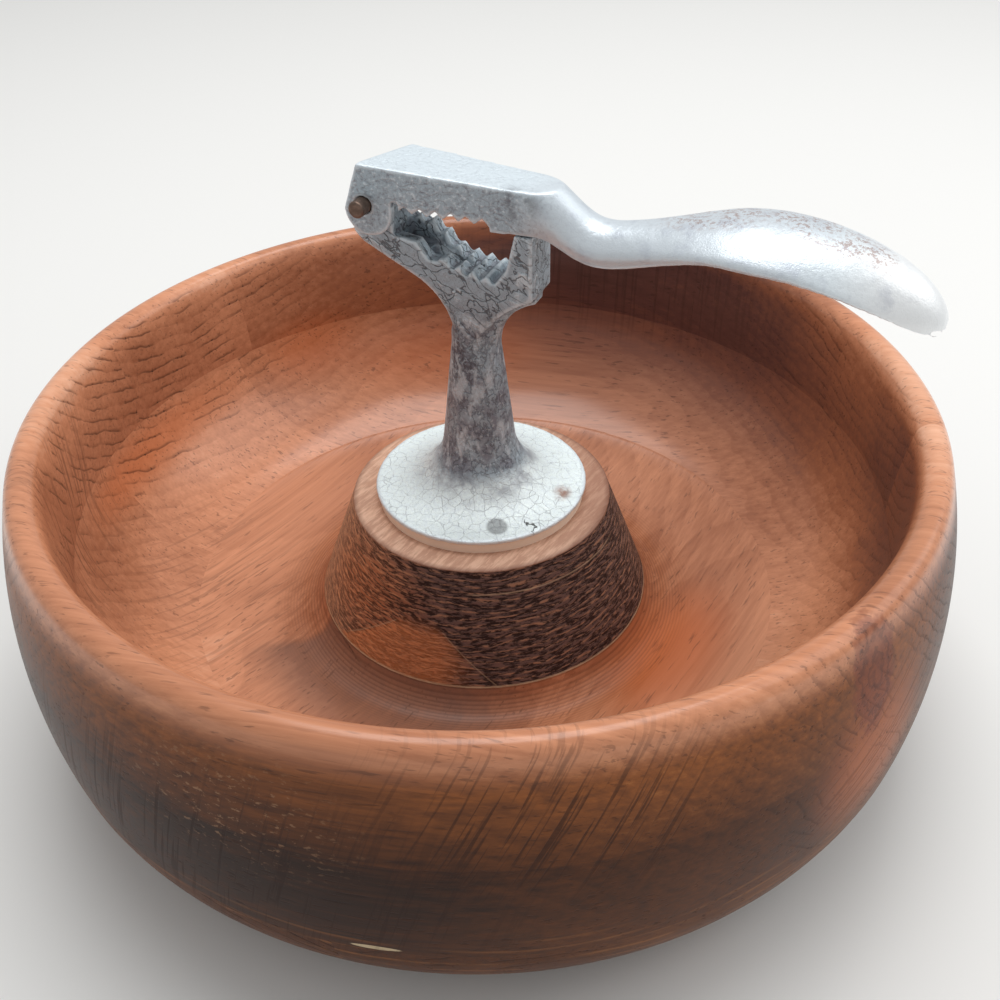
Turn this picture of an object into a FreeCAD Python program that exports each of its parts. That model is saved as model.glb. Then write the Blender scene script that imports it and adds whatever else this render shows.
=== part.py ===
import FreeCAD, Part
import math
import os

import Sketcher
from FreeCAD import Placement, Rotation, Vector

# Lever nutcracker press standing on the pedestal of a turned wooden nut bowl.
#
# The origin is the middle of the bowl's underside and +Z is up. +X points from the post
# along the closed lever to the tip of its handle, and the pivot is on the -X side.
# All lengths are in millimetres and all angles in degrees.

SIZES = {
    # Turned outside of the bowl: foot, belly and rim.
    "bowl_foot_radius": 99,
    "bowl_shoulder_radius": 128.3,
    "bowl_shoulder_height": 28,
    "bowl_low_curve": 38,
    "bowl_side_curve": 135,
    "rim_outer_radius": 124.9,
    "rim_inner_radius": 117,
    "rim_height": 92.2,
    "rim_rounding": 4.2,
    # Turned inside of the bowl: wall, cove and floor.
    "wall_inner_radius": 113.6,
    "wall_inner_curve": 150,
    "cove_radius": 42,
    "floor_radius": 80,
    "floor_height": 31.5,
    "trough_radius": 60,
    "trough_height": 27.6,
    "trough_curve": 9,
    # Thickness of the three layers of boards that the blank is glued up from.
    "base_layer": 33,
    "wall_layer": 32,
    "rim_layer": 34,
    # Glued joints of the planks, measured across the grain from the middle of the bowl.
    "upper_grain_angle": 12.4,
    "rim_joint_back": 61.5,
    "rim_joint_middle": 12,
    "rim_joint_front": 77.5,
    "wall_joint_back": 56,
    "wall_joint_middle": 8,
    "wall_joint_front": 80,
    "base_grain_angle": 81,
    "base_joint": 43,
    # Pedestal in the middle of the bowl.
    "pedestal_foot_radius": 48.4,
    "pedestal_top_radius": 36.9,
    # Bolt and washer that hold the stand from beneath.
    "bolt_radius": 3,
    "bolt_clearance": 0.3,
    "bolt_grip_in_stand": 12,
    "bolt_head_height": 4,
    "bolt_head_corner_radius": 5.77,
    "washer_radius": 9,
    "washer_thickness": 1.6,
    "counterbore_radius": 11,
    "counterbore_depth": 13,
    # Pale disc under the flange.
    "spacer_radius": 29.2,
    "spacer_thickness": 3,
    # Flange and post of the stand. Heights are above the underside of the flange.
    "flange_radius": 30.1,
    "flange_edge": 1.5,
    "dish_radius": 20.6,
    "dish_height": 3.1,
    "dish_curve": 26.7,
    "post_foot_radius": 10,
    "post_foot_height": 16.5,
    "post_foot_curve": 15.9,
    "neck_radius": 6.65,
    "neck_height": 46,
    # Pivot of the lever, above the underside of the flange, and the knuckle round it.
    "pivot_offset": 25.8,
    "pivot_height": 82.8,
    "pin_radius": 2.2,
    "pin_clearance": 0.05,
    "pin_front_reach": 12.6,
    "pin_back_reach": 9.7,
    "pin_end_rounding": 0.5,
    "knuckle_radius": 5.8,
    # Lower jaw, seen from the side. A drop is a height below the pivot.
    "jaw_thickness": 12.4,
    "arm_heel_drop": 8.3,
    "arm_heel_offset": 31.1,
    "arm_belly_drop": 12.3,
    "arm_belly_offset": 26.5,
    "arm_throat_drop": 19.1,
    "arm_throat_offset": 12.4,
    "arm_root_offset": 4.4,
    "arm_root_drop": 30.3,
    "bed_drop": 13.4,
    "bed_slope": 0.14,
    "bed_rise": 6.2,
    "lower_tooth_pitch": 3.75,
    "lower_tooth_depth": 2,
    "bed_groove_width": 3.4,
    "bed_groove_lip": 0.4,
    "knuckle_slot_width": 4.6,
    "knuckle_slot_drop": 12.4,
    "knuckle_slot_wall": 1.2,
    "knuckle_slot_length": 9.75,
    # Front wall of the slot, which is lower than the back wall.
    "front_wall_drop": 8,
    "front_wall_dip": 0.8,
    "front_wall_end": 12.7,
    "front_wall_step": 3,
    # Stop lug that the closed lever rests on.
    "lug_outer_offset": 18.6,
    "lug_tip_thickness": 4.7,
    "lug_foot_thickness": 7,
    "lug_foot_rise": 1.5,
    "lug_drop": 2.4,
    "lug_underside_drop": 19.4,
    "lug_under_curve": 30,
    # Keel along the middle of the lug's underside.
    "keel_thickness": 5,
    "keel_depth": 2.4,
    "keel_setback": 0.5,
    "keel_curve": 17,
    # Head of the lever. A rise is a height above the pivot.
    "head_rise": 10.5,
    "head_fall": 1.3,
    "head_back": 1.2,
    "head_end": 12,
    "head_pivot_width": 18.4,
    "head_end_width": 13.6,
    "head_bevel_offset": 23.8,
    "upper_jaw_drop": 0.8,
    "neck_seat_gap": 0.1,
    "neck_seat_start": 7.8,
    "seat_overhang": 0.6,
    "lobe_forward": 1.2,
    "lobe_drop": 1.4,
    "lobe_radius": 6.6,
    "fork_clearance": 0.15,
    "fork_root_gap": 3.6,
    "fork_roof_gap": 0.8,
    "notch_rise": 1.7,
    "upper_tooth_pitch": 4.1,
    "upper_tooth_depth": 1.8,
    "upper_tooth_first": 6,
    "upper_tooth_land": 0.3,
    # Handle of the lever, from the end of the flat head top to the tip. The crown is how
    # far the handle's root would rise above the head's top if it weren't cut off flat.
    "handle_start": 24,
    "handle_waist": 34,
    "handle_crest": 75,
    "handle_tip": 115,
    "waist_rise": 2.9,
    "waist_underside_drop": 7.5,
    "waist_edge_drop": 6.5,
    "waist_rim": 5.8,
    "waist_half_width": 7.5,
    "root_half_width": 7,
    "root_crown": 4.4,
    "root_edge_drop": 4,
    "head_edge_drop": 0.3,
    "root_edge_foot": 0.4,
    "crest_rise": 10.4,
    "crest_edge_rise": 2.6,
    "edge_rise_end": 68,
    "crest_half_width": 15.2,
    "tip_drop": 11.2,
    "tip_rim": 1.3,
    "handle_wall": 3,
    "handle_rim": 2.4,
}

UPPER_TEETH = 6
LOWER_TEETH = 8
# How much of the bed's rise towards the knuckle each lower tooth has, from the knuckle on.
BED_RISE_SHARES = (1, 0.96, 0.94, 0.55, 0.13, 0.02, 0, 0)
HANDLE_STATIONS = 19
ROOT_STATIONS = 5
# Which way the bevel at the back of the head slopes down, and how steeply, in degrees.
BEVEL_DIRECTION = 158
BEVEL_TILT = 32
# Powers of the handle's curves: 1 is straight, 2 is round and more is fuller.
ROOT_CURVE = 2.2
ROOT_EDGE_CURVE = 3
NOSE_CURVE = 2
EDGE_CURVE = 1.9
# How far the handle's sides bulge, as a share of their height.
SIDE_BULGE = 0.2
STRAIGHT = 0.03

doc = FreeCAD.newDocument("nutcracker_bowl")
sheet = doc.addObject("Spreadsheet::Sheet", "Sizes")


def fill_sheet():
    """Writes each driving dimension into a row of its own, with its name as the alias."""
    for row, (name, value) in enumerate(SIZES.items(), start=1):
        sheet.set("A%d" % row, name)
        sheet.set("B%d" % row, str(value))
        sheet.setAlias("B%d" % row, name)
    doc.recompute()


def worked_out(text):
    """Adds the sheet's name to every driving dimension named in an expression."""
    for name in sorted(SIZES, key=len, reverse=True):
        text = text.replace(name, "@" + str(list(SIZES).index(name)) + "@")
    for index, name in enumerate(SIZES):
        text = text.replace("@%d@" % index, "Sizes." + name)
    return text


def size(text):
    """The present value of an expression in the driving dimensions."""
    result = sheet.evalExpression(worked_out(text).replace("Sizes.", ""))
    return float(result)


def bind(feature, prop, text):
    """Makes a property of a feature follow the sheet."""
    feature.setExpression(prop, worked_out(text))


FLANGE_UNDERSIDE = "(base_layer + wall_layer + spacer_thickness)"
PIVOT_Z = "(" + FLANGE_UNDERSIDE + " + pivot_height)"


def above_flange(text):
    """A height above the underside of the flange, as a height above the ground."""
    return FLANGE_UNDERSIDE + " + " + text


def above_pivot(text):
    """A height above the pivot, as a height above the ground."""
    return PIVOT_Z + " + " + text


def below_pivot(text):
    """A height below the pivot, as a height above the ground."""
    return PIVOT_Z + " - " + text


def origin_plane(body, role):
    return next(f for f in body.Origin.OriginFeatures if f.Role == role)


def new_body(label):
    body = doc.addObject("PartDesign::Body", label)
    body.Label = label
    return body


def new_sketch(body, name, role):
    sketch = body.newObject("Sketcher::SketchObject", name)
    sketch.AttachmentSupport = [(origin_plane(body, role), "")]
    sketch.MapMode = "FlatFace"
    return sketch


def round_edge(start, end, radius, side):
    """A short arc from start to end that bulges to the named side of the way along it."""
    chord = end - start
    left = Vector(-chord.y, chord.x, 0).normalize()
    toward = left if side == "left" else left * -1
    half = chord.Length / 2
    centre = (start + end) * 0.5 - toward * math.sqrt(max(radius * radius - half * half, 0))
    first, last = (end, start) if side == "left" else (start, end)
    angle_first = math.atan2(first.y - centre.y, first.x - centre.x)
    angle_last = math.atan2(last.y - centre.y, last.x - centre.x)
    circle = Part.Circle(centre, Vector(0, 0, 1), radius)
    return Part.ArcOfCircle(circle, angle_first, angle_last)


def pin_corner(sketch, edge, place, across, up):
    """Holds one end of an edge at two distances from the origin that follow the sheet."""
    for kind, text in (("DistanceX", across), ("DistanceY", up)):
        rule = Sketcher.Constraint(kind, -1, 1, edge, place, size(text))
        number = sketch.addConstraint(rule)
        bind(sketch, "Constraints[%d]" % number, text)


def outline(sketch, corners):
    """Draws a closed outline through corners that follow the sheet.

    A corner is (across, up) where a straight edge leaves it, or (across, up, radius, side)
    where a round edge leaves it and bulges to that side of the way along.
    """
    points = [Vector(size(corner[0]), size(corner[1]), 0) for corner in corners]
    edges = []
    for index, corner in enumerate(corners):
        start = points[index]
        end = points[(index + 1) % len(points)]
        if len(corner) == 2:
            number = sketch.addGeometry(Part.LineSegment(start, end))
            edges.append((number, 1, 2))
            continue
        number = sketch.addGeometry(round_edge(start, end, size(corner[2]), corner[3]))
        edges.append((number, 2, 1) if corner[3] == "left" else (number, 1, 2))
        rule = sketch.addConstraint(Sketcher.Constraint("Radius", number, size(corner[2])))
        bind(sketch, "Constraints[%d]" % rule, corner[2])
    for index, (number, start, _) in enumerate(edges):
        before, _, end_before = edges[index - 1]
        sketch.addConstraint(Sketcher.Constraint("Coincident", before, end_before, number, start))
        pin_corner(sketch, number, start, corners[index][0], corners[index][1])


def ring(sketch, across, up, radius):
    """Draws a circle whose centre and radius follow the sheet."""
    centre = Vector(size(across), size(up), 0)
    number = sketch.addGeometry(Part.Circle(centre, Vector(0, 0, 1), size(radius)))
    rule = sketch.addConstraint(Sketcher.Constraint("Radius", number, size(radius)))
    bind(sketch, "Constraints[%d]" % rule, radius)
    pin_corner(sketch, number, 3, across, up)


def turn(body, name, corners):
    """Turns an outline in the XZ plane about the Z axis."""
    sketch = new_sketch(body, name + "_outline", "XZ_Plane")
    outline(sketch, corners)
    turned = body.newObject("PartDesign::Revolution", name)
    turned.Profile = sketch
    turned.ReferenceAxis = (sketch, ["V_Axis"])
    turned.Angle = 360
    return turned


def plate(body, name, corners, thickness):
    """Pads an outline in the XZ plane equally to both sides."""
    sketch = new_sketch(body, name + "_outline", "XZ_Plane")
    outline(sketch, corners)
    pad = body.newObject("PartDesign::Pad", name)
    pad.Profile = sketch
    pad.SideType = "Symmetric"
    bind(pad, "Length", thickness)
    return pad


def cut(body, name, role, draw, depth=None, front_only=False):
    """Cuts the sketch that draw makes, through everything or to a depth.

    It cuts to both sides of the sketch, or from the sketch to the front only.
    """
    sketch = new_sketch(body, name + "_outline", role)
    draw(sketch)
    doc.recompute()
    volume = body.Shape.Volume
    pocket = body.newObject("PartDesign::Pocket", name)
    pocket.Profile = sketch
    pocket.SideType = "One side" if front_only else "Symmetric"
    pocket.Reversed = front_only
    if depth is None:
        pocket.Type = "ThroughAll"
    else:
        bind(pocket, "Length", depth)
    doc.recompute()
    if not body.Shape.Volume < volume:
        raise RuntimeError(name + " cuts nothing")
    return pocket


def bowl_blank():
    """The turned bowl without its pedestal, with the bolt's hole and counterbore."""
    body = new_body("bowl_blank")
    hole = "bolt_radius + bolt_clearance"
    turn(body, "bowl_turning", [
        ("counterbore_radius", "0"),
        ("bowl_foot_radius", "0", "bowl_low_curve", "right"),
        ("bowl_shoulder_radius", "bowl_shoulder_height", "bowl_side_curve", "right"),
        ("rim_outer_radius", "rim_height", "rim_rounding", "right"),
        ("rim_inner_radius", "rim_height", "wall_inner_curve", "right"),
        ("wall_inner_radius", "base_layer + wall_layer", "cove_radius", "left"),
        ("floor_radius", "floor_height"),
        ("trough_radius", "trough_height", "trough_curve", "left"),
        ("pedestal_foot_radius", "base_layer"),
        (hole, "base_layer"),
        (hole, "counterbore_depth"),
        ("counterbore_radius", "counterbore_depth"),
    ])
    return body


def pedestal_blank():
    """The turned cone that stands in the middle of the bowl, with the bolt's hole."""
    body = new_body("pedestal_blank")
    hole = "bolt_radius + bolt_clearance"
    turn(body, "pedestal_turning", [
        (hole, "base_layer"),
        ("pedestal_foot_radius", "base_layer"),
        ("pedestal_top_radius", "base_layer + wall_layer"),
        (hole, "base_layer + wall_layer"),
    ])
    return body


def plank(label, blank, layer, along, across, grain_angle):
    """One plank of a turned blank.

    layer is (underside, thickness), along is (start, length) in the grain's direction and
    across is (start, width) at right angles to it. A turned blank looks the same from all
    sides, so the plank is cut with its grain along X and then turned to its real direction.
    """
    slab = doc.addObject("Part::Box", label + "_slab")
    bind(slab, "Length", along[1])
    bind(slab, "Width", across[1])
    bind(slab, "Height", layer[1])
    bind(slab, "Placement.Base.x", along[0])
    bind(slab, "Placement.Base.y", across[0])
    bind(slab, "Placement.Base.z", layer[0])
    piece = doc.addObject("Part::Common", label)
    piece.Label = label
    piece.Base = blank
    piece.Tool = slab
    piece.Placement = Placement(Vector(), Rotation(Vector(0, 0, 1), size(grain_angle)))
    bind(piece, "Placement.Rotation.Angle", grain_angle)
    return piece


def ring_planks(prefix, blank, layer, joints):
    """Six arcs of a ring that was turned from four planks.

    The ring is hollow, so each of the two middle planks is left as one arc on either side.
    """
    reach = "2 * bowl_shoulder_radius"
    back, middle, front = joints
    angle = "upper_grain_angle"
    behind = (back, reach)
    upper = (middle, back + " - (" + middle + ")")
    lower = ("-" + front, middle + " + " + front)
    before = ("-" + front + " - " + reach, reach)
    whole = ("-" + reach, "2 * " + reach)
    left = ("-" + reach, reach)
    right = ("0", reach)
    return [
        plank(prefix + "_back", blank, layer, whole, behind, angle),
        plank(prefix + "_back_left", blank, layer, left, upper, angle),
        plank(prefix + "_back_right", blank, layer, right, upper, angle),
        plank(prefix + "_front_left", blank, layer, left, lower, angle),
        plank(prefix + "_front_right", blank, layer, right, lower, angle),
        plank(prefix + "_front", blank, layer, whole, before, angle),
    ]


def wooden_pieces():
    """All planks of the bowl, layer by layer from the top."""
    bowl = bowl_blank()
    pedestal = pedestal_blank()
    rim_at = ("base_layer + wall_layer", "rim_layer")
    wall_at = ("base_layer", "wall_layer")
    base_at = ("0", "base_layer")
    reach = "2 * bowl_shoulder_radius"
    whole = ("-" + reach, "2 * " + reach)
    rim_joints = ("rim_joint_back", "rim_joint_middle", "rim_joint_front")
    wall_joints = ("wall_joint_back", "(-wall_joint_middle)", "wall_joint_front")
    pieces = ring_planks("rim_plank", bowl, rim_at, rim_joints)
    pieces += ring_planks("wall_plank", bowl, wall_at, wall_joints)
    behind = ("-wall_joint_middle", reach)
    before = ("-wall_joint_middle - " + reach, reach)
    middle = ("-base_joint", "2 * base_joint")
    left = ("base_joint", reach)
    right = ("-base_joint - " + reach, reach)
    upper = "upper_grain_angle"
    lower = "base_grain_angle"
    pieces += [
        plank("pedestal_plank_back", pedestal, wall_at, whole, behind, upper),
        plank("pedestal_plank_front", pedestal, wall_at, whole, before, upper),
        plank("base_plank_left", bowl, base_at, whole, left, lower),
        plank("base_plank_middle", bowl, base_at, whole, middle, lower),
        plank("base_plank_right", bowl, base_at, whole, right, lower),
    ]
    return pieces


def spacer_disc():
    """The flat pale disc between the pedestal and the flange."""
    body = new_body("spacer_disc")
    under = "base_layer + wall_layer"
    turn(body, "disc", [
        ("bolt_radius + bolt_clearance", under),
        ("spacer_radius", under),
        ("spacer_radius", under + " + spacer_thickness"),
        ("bolt_radius + bolt_clearance", under + " + spacer_thickness"),
    ])
    return body


def bed_corners():
    """Crests and valleys of the lower jaw's teeth, from the knuckle down to the lug."""
    corners = []
    first = "-pivot_offset + knuckle_radius"
    for number in range(LOWER_TEETH):
        share = BED_RISE_SHARES[number]
        across = "%s + %g * lower_tooth_pitch" % (first, number)
        crest = "(bed_drop + bed_slope * (%s) - %g * bed_rise)" % (across, share)
        corners.append((across, below_pivot(crest)))
        following = BED_RISE_SHARES[min(number + 1, LOWER_TEETH - 1)]
        across = "%s + %g * lower_tooth_pitch" % (first, number + 0.5)
        valley = "(bed_drop + bed_slope * (%s) - %g * bed_rise + lower_tooth_depth)" % (
            across, (share + following) / 2)
        corners.append((across, below_pivot(valley)))
    return corners


def press_stand():
    """The casting with the flange, the post, the lower jaw, the lug and the knuckle."""
    body = new_body("press_stand")
    under = FLANGE_UNDERSIDE
    turn(body, "flange_and_post", [
        ("bolt_radius", under),
        ("flange_radius", under),
        ("flange_radius", above_flange("flange_edge"), "dish_curve", "left"),
        ("dish_radius", above_flange("dish_height"), "post_foot_curve", "left"),
        ("post_foot_radius", above_flange("post_foot_height")),
        ("neck_radius", above_flange("neck_height")),
        ("neck_radius", below_pivot("arm_root_drop - neck_radius / 3")),
        ("0", below_pivot("arm_root_drop + neck_radius * 3 / 2")),
        ("0", above_flange("bolt_grip_in_stand + 2")),
        ("bolt_radius", above_flange("bolt_grip_in_stand + 2")),
    ])
    neck = above_flange("neck_height")
    root = below_pivot("arm_root_drop - neck_radius * 3 / 4")
    knuckle_left = "-pivot_offset - knuckle_radius"
    knuckle_right = "-pivot_offset + knuckle_radius"
    side = [
        ("-neck_radius / 3", root),
        ("-arm_root_offset", below_pivot("arm_root_drop"), "knuckle_radius * 3", "right"),
        ("-arm_throat_offset", below_pivot("arm_throat_drop")),
        ("-arm_belly_offset", below_pivot("arm_belly_drop"), "knuckle_radius * 1.4", "left"),
        ("-arm_heel_offset", below_pivot("arm_heel_drop")),
        (knuckle_left, PIVOT_Z, "knuckle_radius", "left"),
        ("-pivot_offset", above_pivot("knuckle_radius"), "knuckle_radius", "left"),
        (knuckle_right, PIVOT_Z),
    ]
    side += bed_corners()
    side += [
        ("lug_outer_offset - lug_foot_thickness", below_pivot("(bed_drop - lug_foot_rise)")),
        ("lug_outer_offset - lug_tip_thickness", below_pivot("lug_drop")),
        ("lug_outer_offset", below_pivot("lug_drop")),
        ("lug_outer_offset", below_pivot("lug_underside_drop"), "lug_under_curve", "right"),
        ("neck_radius - 2 * keel_setback", below_pivot("arm_root_drop")),
        ("neck_radius / 3", root),
    ]
    plate(body, "lower_jaw", side, "jaw_thickness")
    keel_end = "lug_outer_offset - keel_setback"
    plate(body, "keel", [
        (keel_end, below_pivot("lug_underside_drop")),
        (keel_end, below_pivot("lug_underside_drop - keel_depth"), "keel_curve", "right"),
        ("neck_radius", neck),
        ("0", neck),
        ("0", below_pivot("lug_underside_drop")),
    ], "keel_thickness")
    cut(body, "pin_bore", "XZ_Plane",
        lambda sketch: ring(sketch, "-pivot_offset", PIVOT_Z, "pin_radius"))
    groove_floor = below_pivot("(bed_drop + lower_tooth_depth)")
    groove_lip = below_pivot("(bed_drop - bed_groove_lip)")
    groove_side = "bed_groove_width / 2"

    def groove(sketch):
        outline(sketch, [
            ("0", groove_floor),
            (groove_side, groove_lip),
            (groove_side, PIVOT_Z),
            ("-" + groove_side, PIVOT_Z),
            ("-" + groove_side, groove_lip),
        ])

    bed_end = "(lug_outer_offset - lug_foot_thickness)"
    cut(body, "bed_groove", "YZ_Plane", groove, "2 * " + bed_end)

    def slot(sketch):
        left = "-pivot_offset + knuckle_radius + knuckle_slot_wall"
        right = left + " + knuckle_slot_length"
        floor = below_pivot("knuckle_slot_drop")
        outline(sketch, [
            (left, floor),
            (right, floor),
            (right, PIVOT_Z),
            (left, PIVOT_Z),
        ])

    cut(body, "knuckle_slot", "XZ_Plane", slot, "knuckle_slot_width")

    def low_wall(sketch):
        left = "-pivot_offset + knuckle_radius + knuckle_slot_wall / 2"
        right = "-pivot_offset + knuckle_radius + lower_tooth_pitch * 7 / 2"
        floor = below_pivot("(bed_drop - bed_groove_lip)")
        outline(sketch, [
            (left, below_pivot("front_wall_drop")),
            ("-front_wall_end", below_pivot("(front_wall_drop + front_wall_dip)")),
            ("-front_wall_end + front_wall_step", floor),
            (right, floor),
            (right, PIVOT_Z),
            (left, PIVOT_Z),
        ])

    cut(body, "low_front_wall", "XZ_Plane", low_wall, "jaw_thickness", True)
    return body


def lever_head():
    """The lever's head: a toothed block with a fork of two cheeks at the pivot."""
    body = new_body("lever_head")
    lobe_z = below_pivot("lobe_drop")
    lobe_x = "-pivot_offset + lobe_forward"
    notch = above_pivot("notch_rise")
    seat = below_pivot("lug_drop + neck_seat_gap")
    jaw = below_pivot("upper_jaw_drop")
    top = above_pivot("head_rise")
    fork_root = "-pivot_offset + knuckle_radius + fork_root_gap"
    plate(body, "head_block", [
        ("-pivot_offset - head_back", top),
        (lobe_x + " - lobe_radius", lobe_z, "lobe_radius", "right"),
        (lobe_x, lobe_z + " - lobe_radius", "lobe_radius", "right"),
        (lobe_x + " + lobe_radius", lobe_z),
        (lobe_x + " + lobe_radius", notch),
        (fork_root, notch),
        (fork_root, jaw),
        ("neck_seat_start", jaw),
        ("neck_seat_start", seat),
        ("head_end", seat),
        ("head_end", top + " - head_fall"),
    ], "head_pivot_width")

    def fork(sketch):
        roof = above_pivot("knuckle_radius + fork_roof_gap")
        floor = lobe_z + " - 2 * lobe_radius"
        left = lobe_x + " - 2 * lobe_radius"
        outline(sketch, [
            (left, floor),
            (fork_root, floor),
            (fork_root, roof),
            (left, roof),
        ])

    cut(body, "fork", "XZ_Plane", fork, "jaw_thickness + 2 * fork_clearance")
    cut(body, "pivot_holes", "XZ_Plane",
        lambda sketch: ring(sketch, "-pivot_offset", PIVOT_Z, "pin_radius + pin_clearance"))

    def tooth_gap(sketch):
        outline(sketch, [
            ("upper_tooth_first", jaw + " + upper_tooth_depth"),
            ("upper_tooth_first - upper_tooth_pitch / 2", jaw),
            ("upper_tooth_first - upper_tooth_pitch / 2", jaw + " - 1"),
            ("upper_tooth_first + upper_tooth_pitch / 2 - upper_tooth_land", jaw + " - 1"),
            ("upper_tooth_first + upper_tooth_pitch / 2 - upper_tooth_land", jaw),
        ])

    gap = cut(body, "tooth_gap", "XZ_Plane", tooth_gap)
    teeth = body.newObject("PartDesign::LinearPattern", "upper_teeth")
    teeth.Originals = [gap]
    teeth.Direction = (origin_plane(body, "X_Axis"), [""])
    teeth.Reversed = True
    teeth.Occurrences = UPPER_TEETH
    bind(teeth, "Length", "upper_tooth_pitch * %d" % (UPPER_TEETH - 1))
    body.Tip = teeth
    doc.recompute()

    def taper(sketch):
        beyond = "head_pivot_width"
        left = "-pivot_offset - 3 * lobe_radius"
        right = "head_end + lobe_radius"
        narrow = "(head_end_width / 2)"
        wide = "(head_pivot_width / 2)"
        for sign in ("", "-"):
            outline(sketch, [
                ("-pivot_offset", sign + wide),
                ("head_end", sign + narrow),
                (right, sign + narrow),
                (right, sign + beyond),
                (left, sign + beyond),
                (left, sign + wide),
            ])

    cut(body, "taper", "XY_Plane", taper)
    return body


def ease(start, end, share):
    """Goes gently from start to end as share goes from 0 to 1."""
    share = min(max(share, 0), 1)
    return start + (end - start) * share * share * (3 - 2 * share)


def root_section(station):
    """Half width and four heights of the handle between the head and the waist.

    The heights are those of the top's middle, the side's upper edge, the side's lower edge
    and the underside's middle. From the waist the top rises to the flat top of the head and
    goes on above it, and the side's upper edge rises more slowly to the head's edge.
    """
    waist = size("handle_waist")
    start = size("handle_start")
    level = size("head_rise - head_fall")
    share = min(max((waist - station) / (waist - start), 0), 1)
    inside = min(max((start - station) / (start - size("head_end")), 0), 1)
    seat_share = (waist - station) / (waist - size("lug_outer_offset + seat_overhang"))
    top = size("waist_rise") + (level - size("waist_rise")) * share ** ROOT_CURVE
    top += size("root_crown") * (1 - (1 - inside) ** 2)
    under = ease(-size("waist_underside_drop"), -size("lug_drop - neck_seat_gap"), seat_share)
    edge_drop = size("root_edge_drop - head_edge_drop") * (1 - inside) ** ROOT_EDGE_CURVE
    edge = level - size("head_edge_drop") - edge_drop
    waist_edge = -size("waist_edge_drop")
    high = ease(waist_edge + size("waist_rim"), edge, share)
    low = ease(waist_edge, under + size("root_edge_foot"), share)
    half = ease(size("waist_half_width"), size("root_half_width"), share)
    half += size("head_end_width / 2 - root_half_width") * inside
    return half, top, high, low, under


def blade_section(station):
    """Half width and four heights of the handle from the waist to the tip.

    It opens out into a blade with a hollow underside, and beyond the crest its top comes
    down in a round curve and its plan closes like half an ellipse.
    """
    waist = size("handle_waist")
    crest = size("handle_crest")
    tip = -size("tip_drop")
    share = (station - waist) / (crest - waist)
    past = min(max((station - crest) / (size("handle_tip") - crest), 0), 1)
    close = (1 - past ** NOSE_CURVE) ** (1 / NOSE_CURVE)
    edge_share = (station - waist) / (size("edge_rise_end") - waist)
    low = ease(-size("waist_edge_drop"), size("crest_edge_rise"), edge_share)
    low -= (size("crest_edge_rise") - tip) * past ** EDGE_CURVE
    rim = ease(size("waist_rim"), size("handle_rim"), edge_share)
    high = low + ease(rim, size("tip_rim"), past)
    half = ease(size("waist_half_width"), size("crest_half_width"), share)
    top = ease(size("waist_rise"), size("crest_rise"), share)
    under = ease(-size("waist_underside_drop"), size("crest_rise - handle_wall"), share)
    if past > 0:
        top = tip + size("handle_rim") + (top - tip - size("handle_rim")) * close
        under = tip + (under - tip) * close
    top = max(top, high + size("handle_wall") / 10)
    under = min(under, top - size("handle_wall") * 0.7)
    return half * math.sqrt(1 - past * past), top, high, low, under


def side_share(station):
    """How much of the full bulge the sides have: little at the head, all from the waist on."""
    head = size("head_end")
    return ease(STRAIGHT, 1, (station - head) / (size("handle_waist") - head))


def section_wire(station):
    """The closed section at a station: a domed top, two round sides and the underside."""
    before_waist = station <= size("handle_waist")
    section = root_section(station) if before_waist else blade_section(station)
    half = section[0]
    top, high, low, under = [size(PIVOT_Z) + height for height in section[1:]]
    bulge = SIDE_BULGE * (high - low) * side_share(station)
    middle = (high + low) / 2
    inner = half - bulge
    left_high = Vector(station, -inner, high)
    right_high = Vector(station, inner, high)
    left_low = Vector(station, -inner, low)
    right_low = Vector(station, inner, low)
    edges = [
        Part.Arc(left_high, Vector(station, 0, top), right_high).toShape(),
        Part.Arc(right_high, Vector(station, half, middle), right_low).toShape(),
        Part.Arc(right_low, Vector(station, 0, under), left_low).toShape(),
        Part.Arc(left_low, Vector(station, -half, middle), left_high).toShape(),
    ]
    return Part.Wire(edges)


def handle():
    """The curved handle, lofted through sections from inside the head to near the tip.

    Its root is cut off level with the head's top, which leaves a flat tongue there.
    """
    start = size("handle_start")
    tip = size("handle_tip")
    inside = size("(head_end + upper_tooth_first) / 2")
    last = tip - 0.35
    stations = [inside + (start - inside) * number / ROOT_STATIONS
                for number in range(ROOT_STATIONS)]
    for number in range(HANDLE_STATIONS):
        share = number / (HANDLE_STATIONS - 1)
        stations.append(start + (last - start) * math.sin(share * math.pi / 2) ** 0.9)
    whole = Part.makeLoft([section_wire(station) for station in stations], True, False)
    level = size(above_pivot("head_rise - head_fall"))
    width = size("head_pivot_width")
    above = Part.makeBox(start, width, width, Vector(0, -width / 2, level))
    piece = doc.addObject("Part::Feature", "lever_handle")
    piece.Shape = whole.cut(above)
    return piece


def bevel_tool():
    """The block that cuts the sloping bevel off the back corner of the head's top."""
    reach = size("head_pivot_width * 2")
    sloped = Rotation(Vector(0, 0, 1), BEVEL_DIRECTION).multiply(
        Rotation(Vector(0, 1, 0), BEVEL_TILT))
    start = Vector(-size("head_bevel_offset"), 0, size(above_pivot("head_rise")))
    tool = doc.addObject("Part::Box", "bevel_tool")
    for side in ("Length", "Width", "Height"):
        bind(tool, side, "head_pivot_width * 4")
    tool.Placement = Placement(start + sloped.multVec(Vector(-reach, -reach, 0)), sloped)
    bind(tool, "Placement.Base.z", above_pivot("head_rise + %.4f" % sloped.multVec(
        Vector(-reach, -reach, 0)).z))
    return tool


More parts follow.
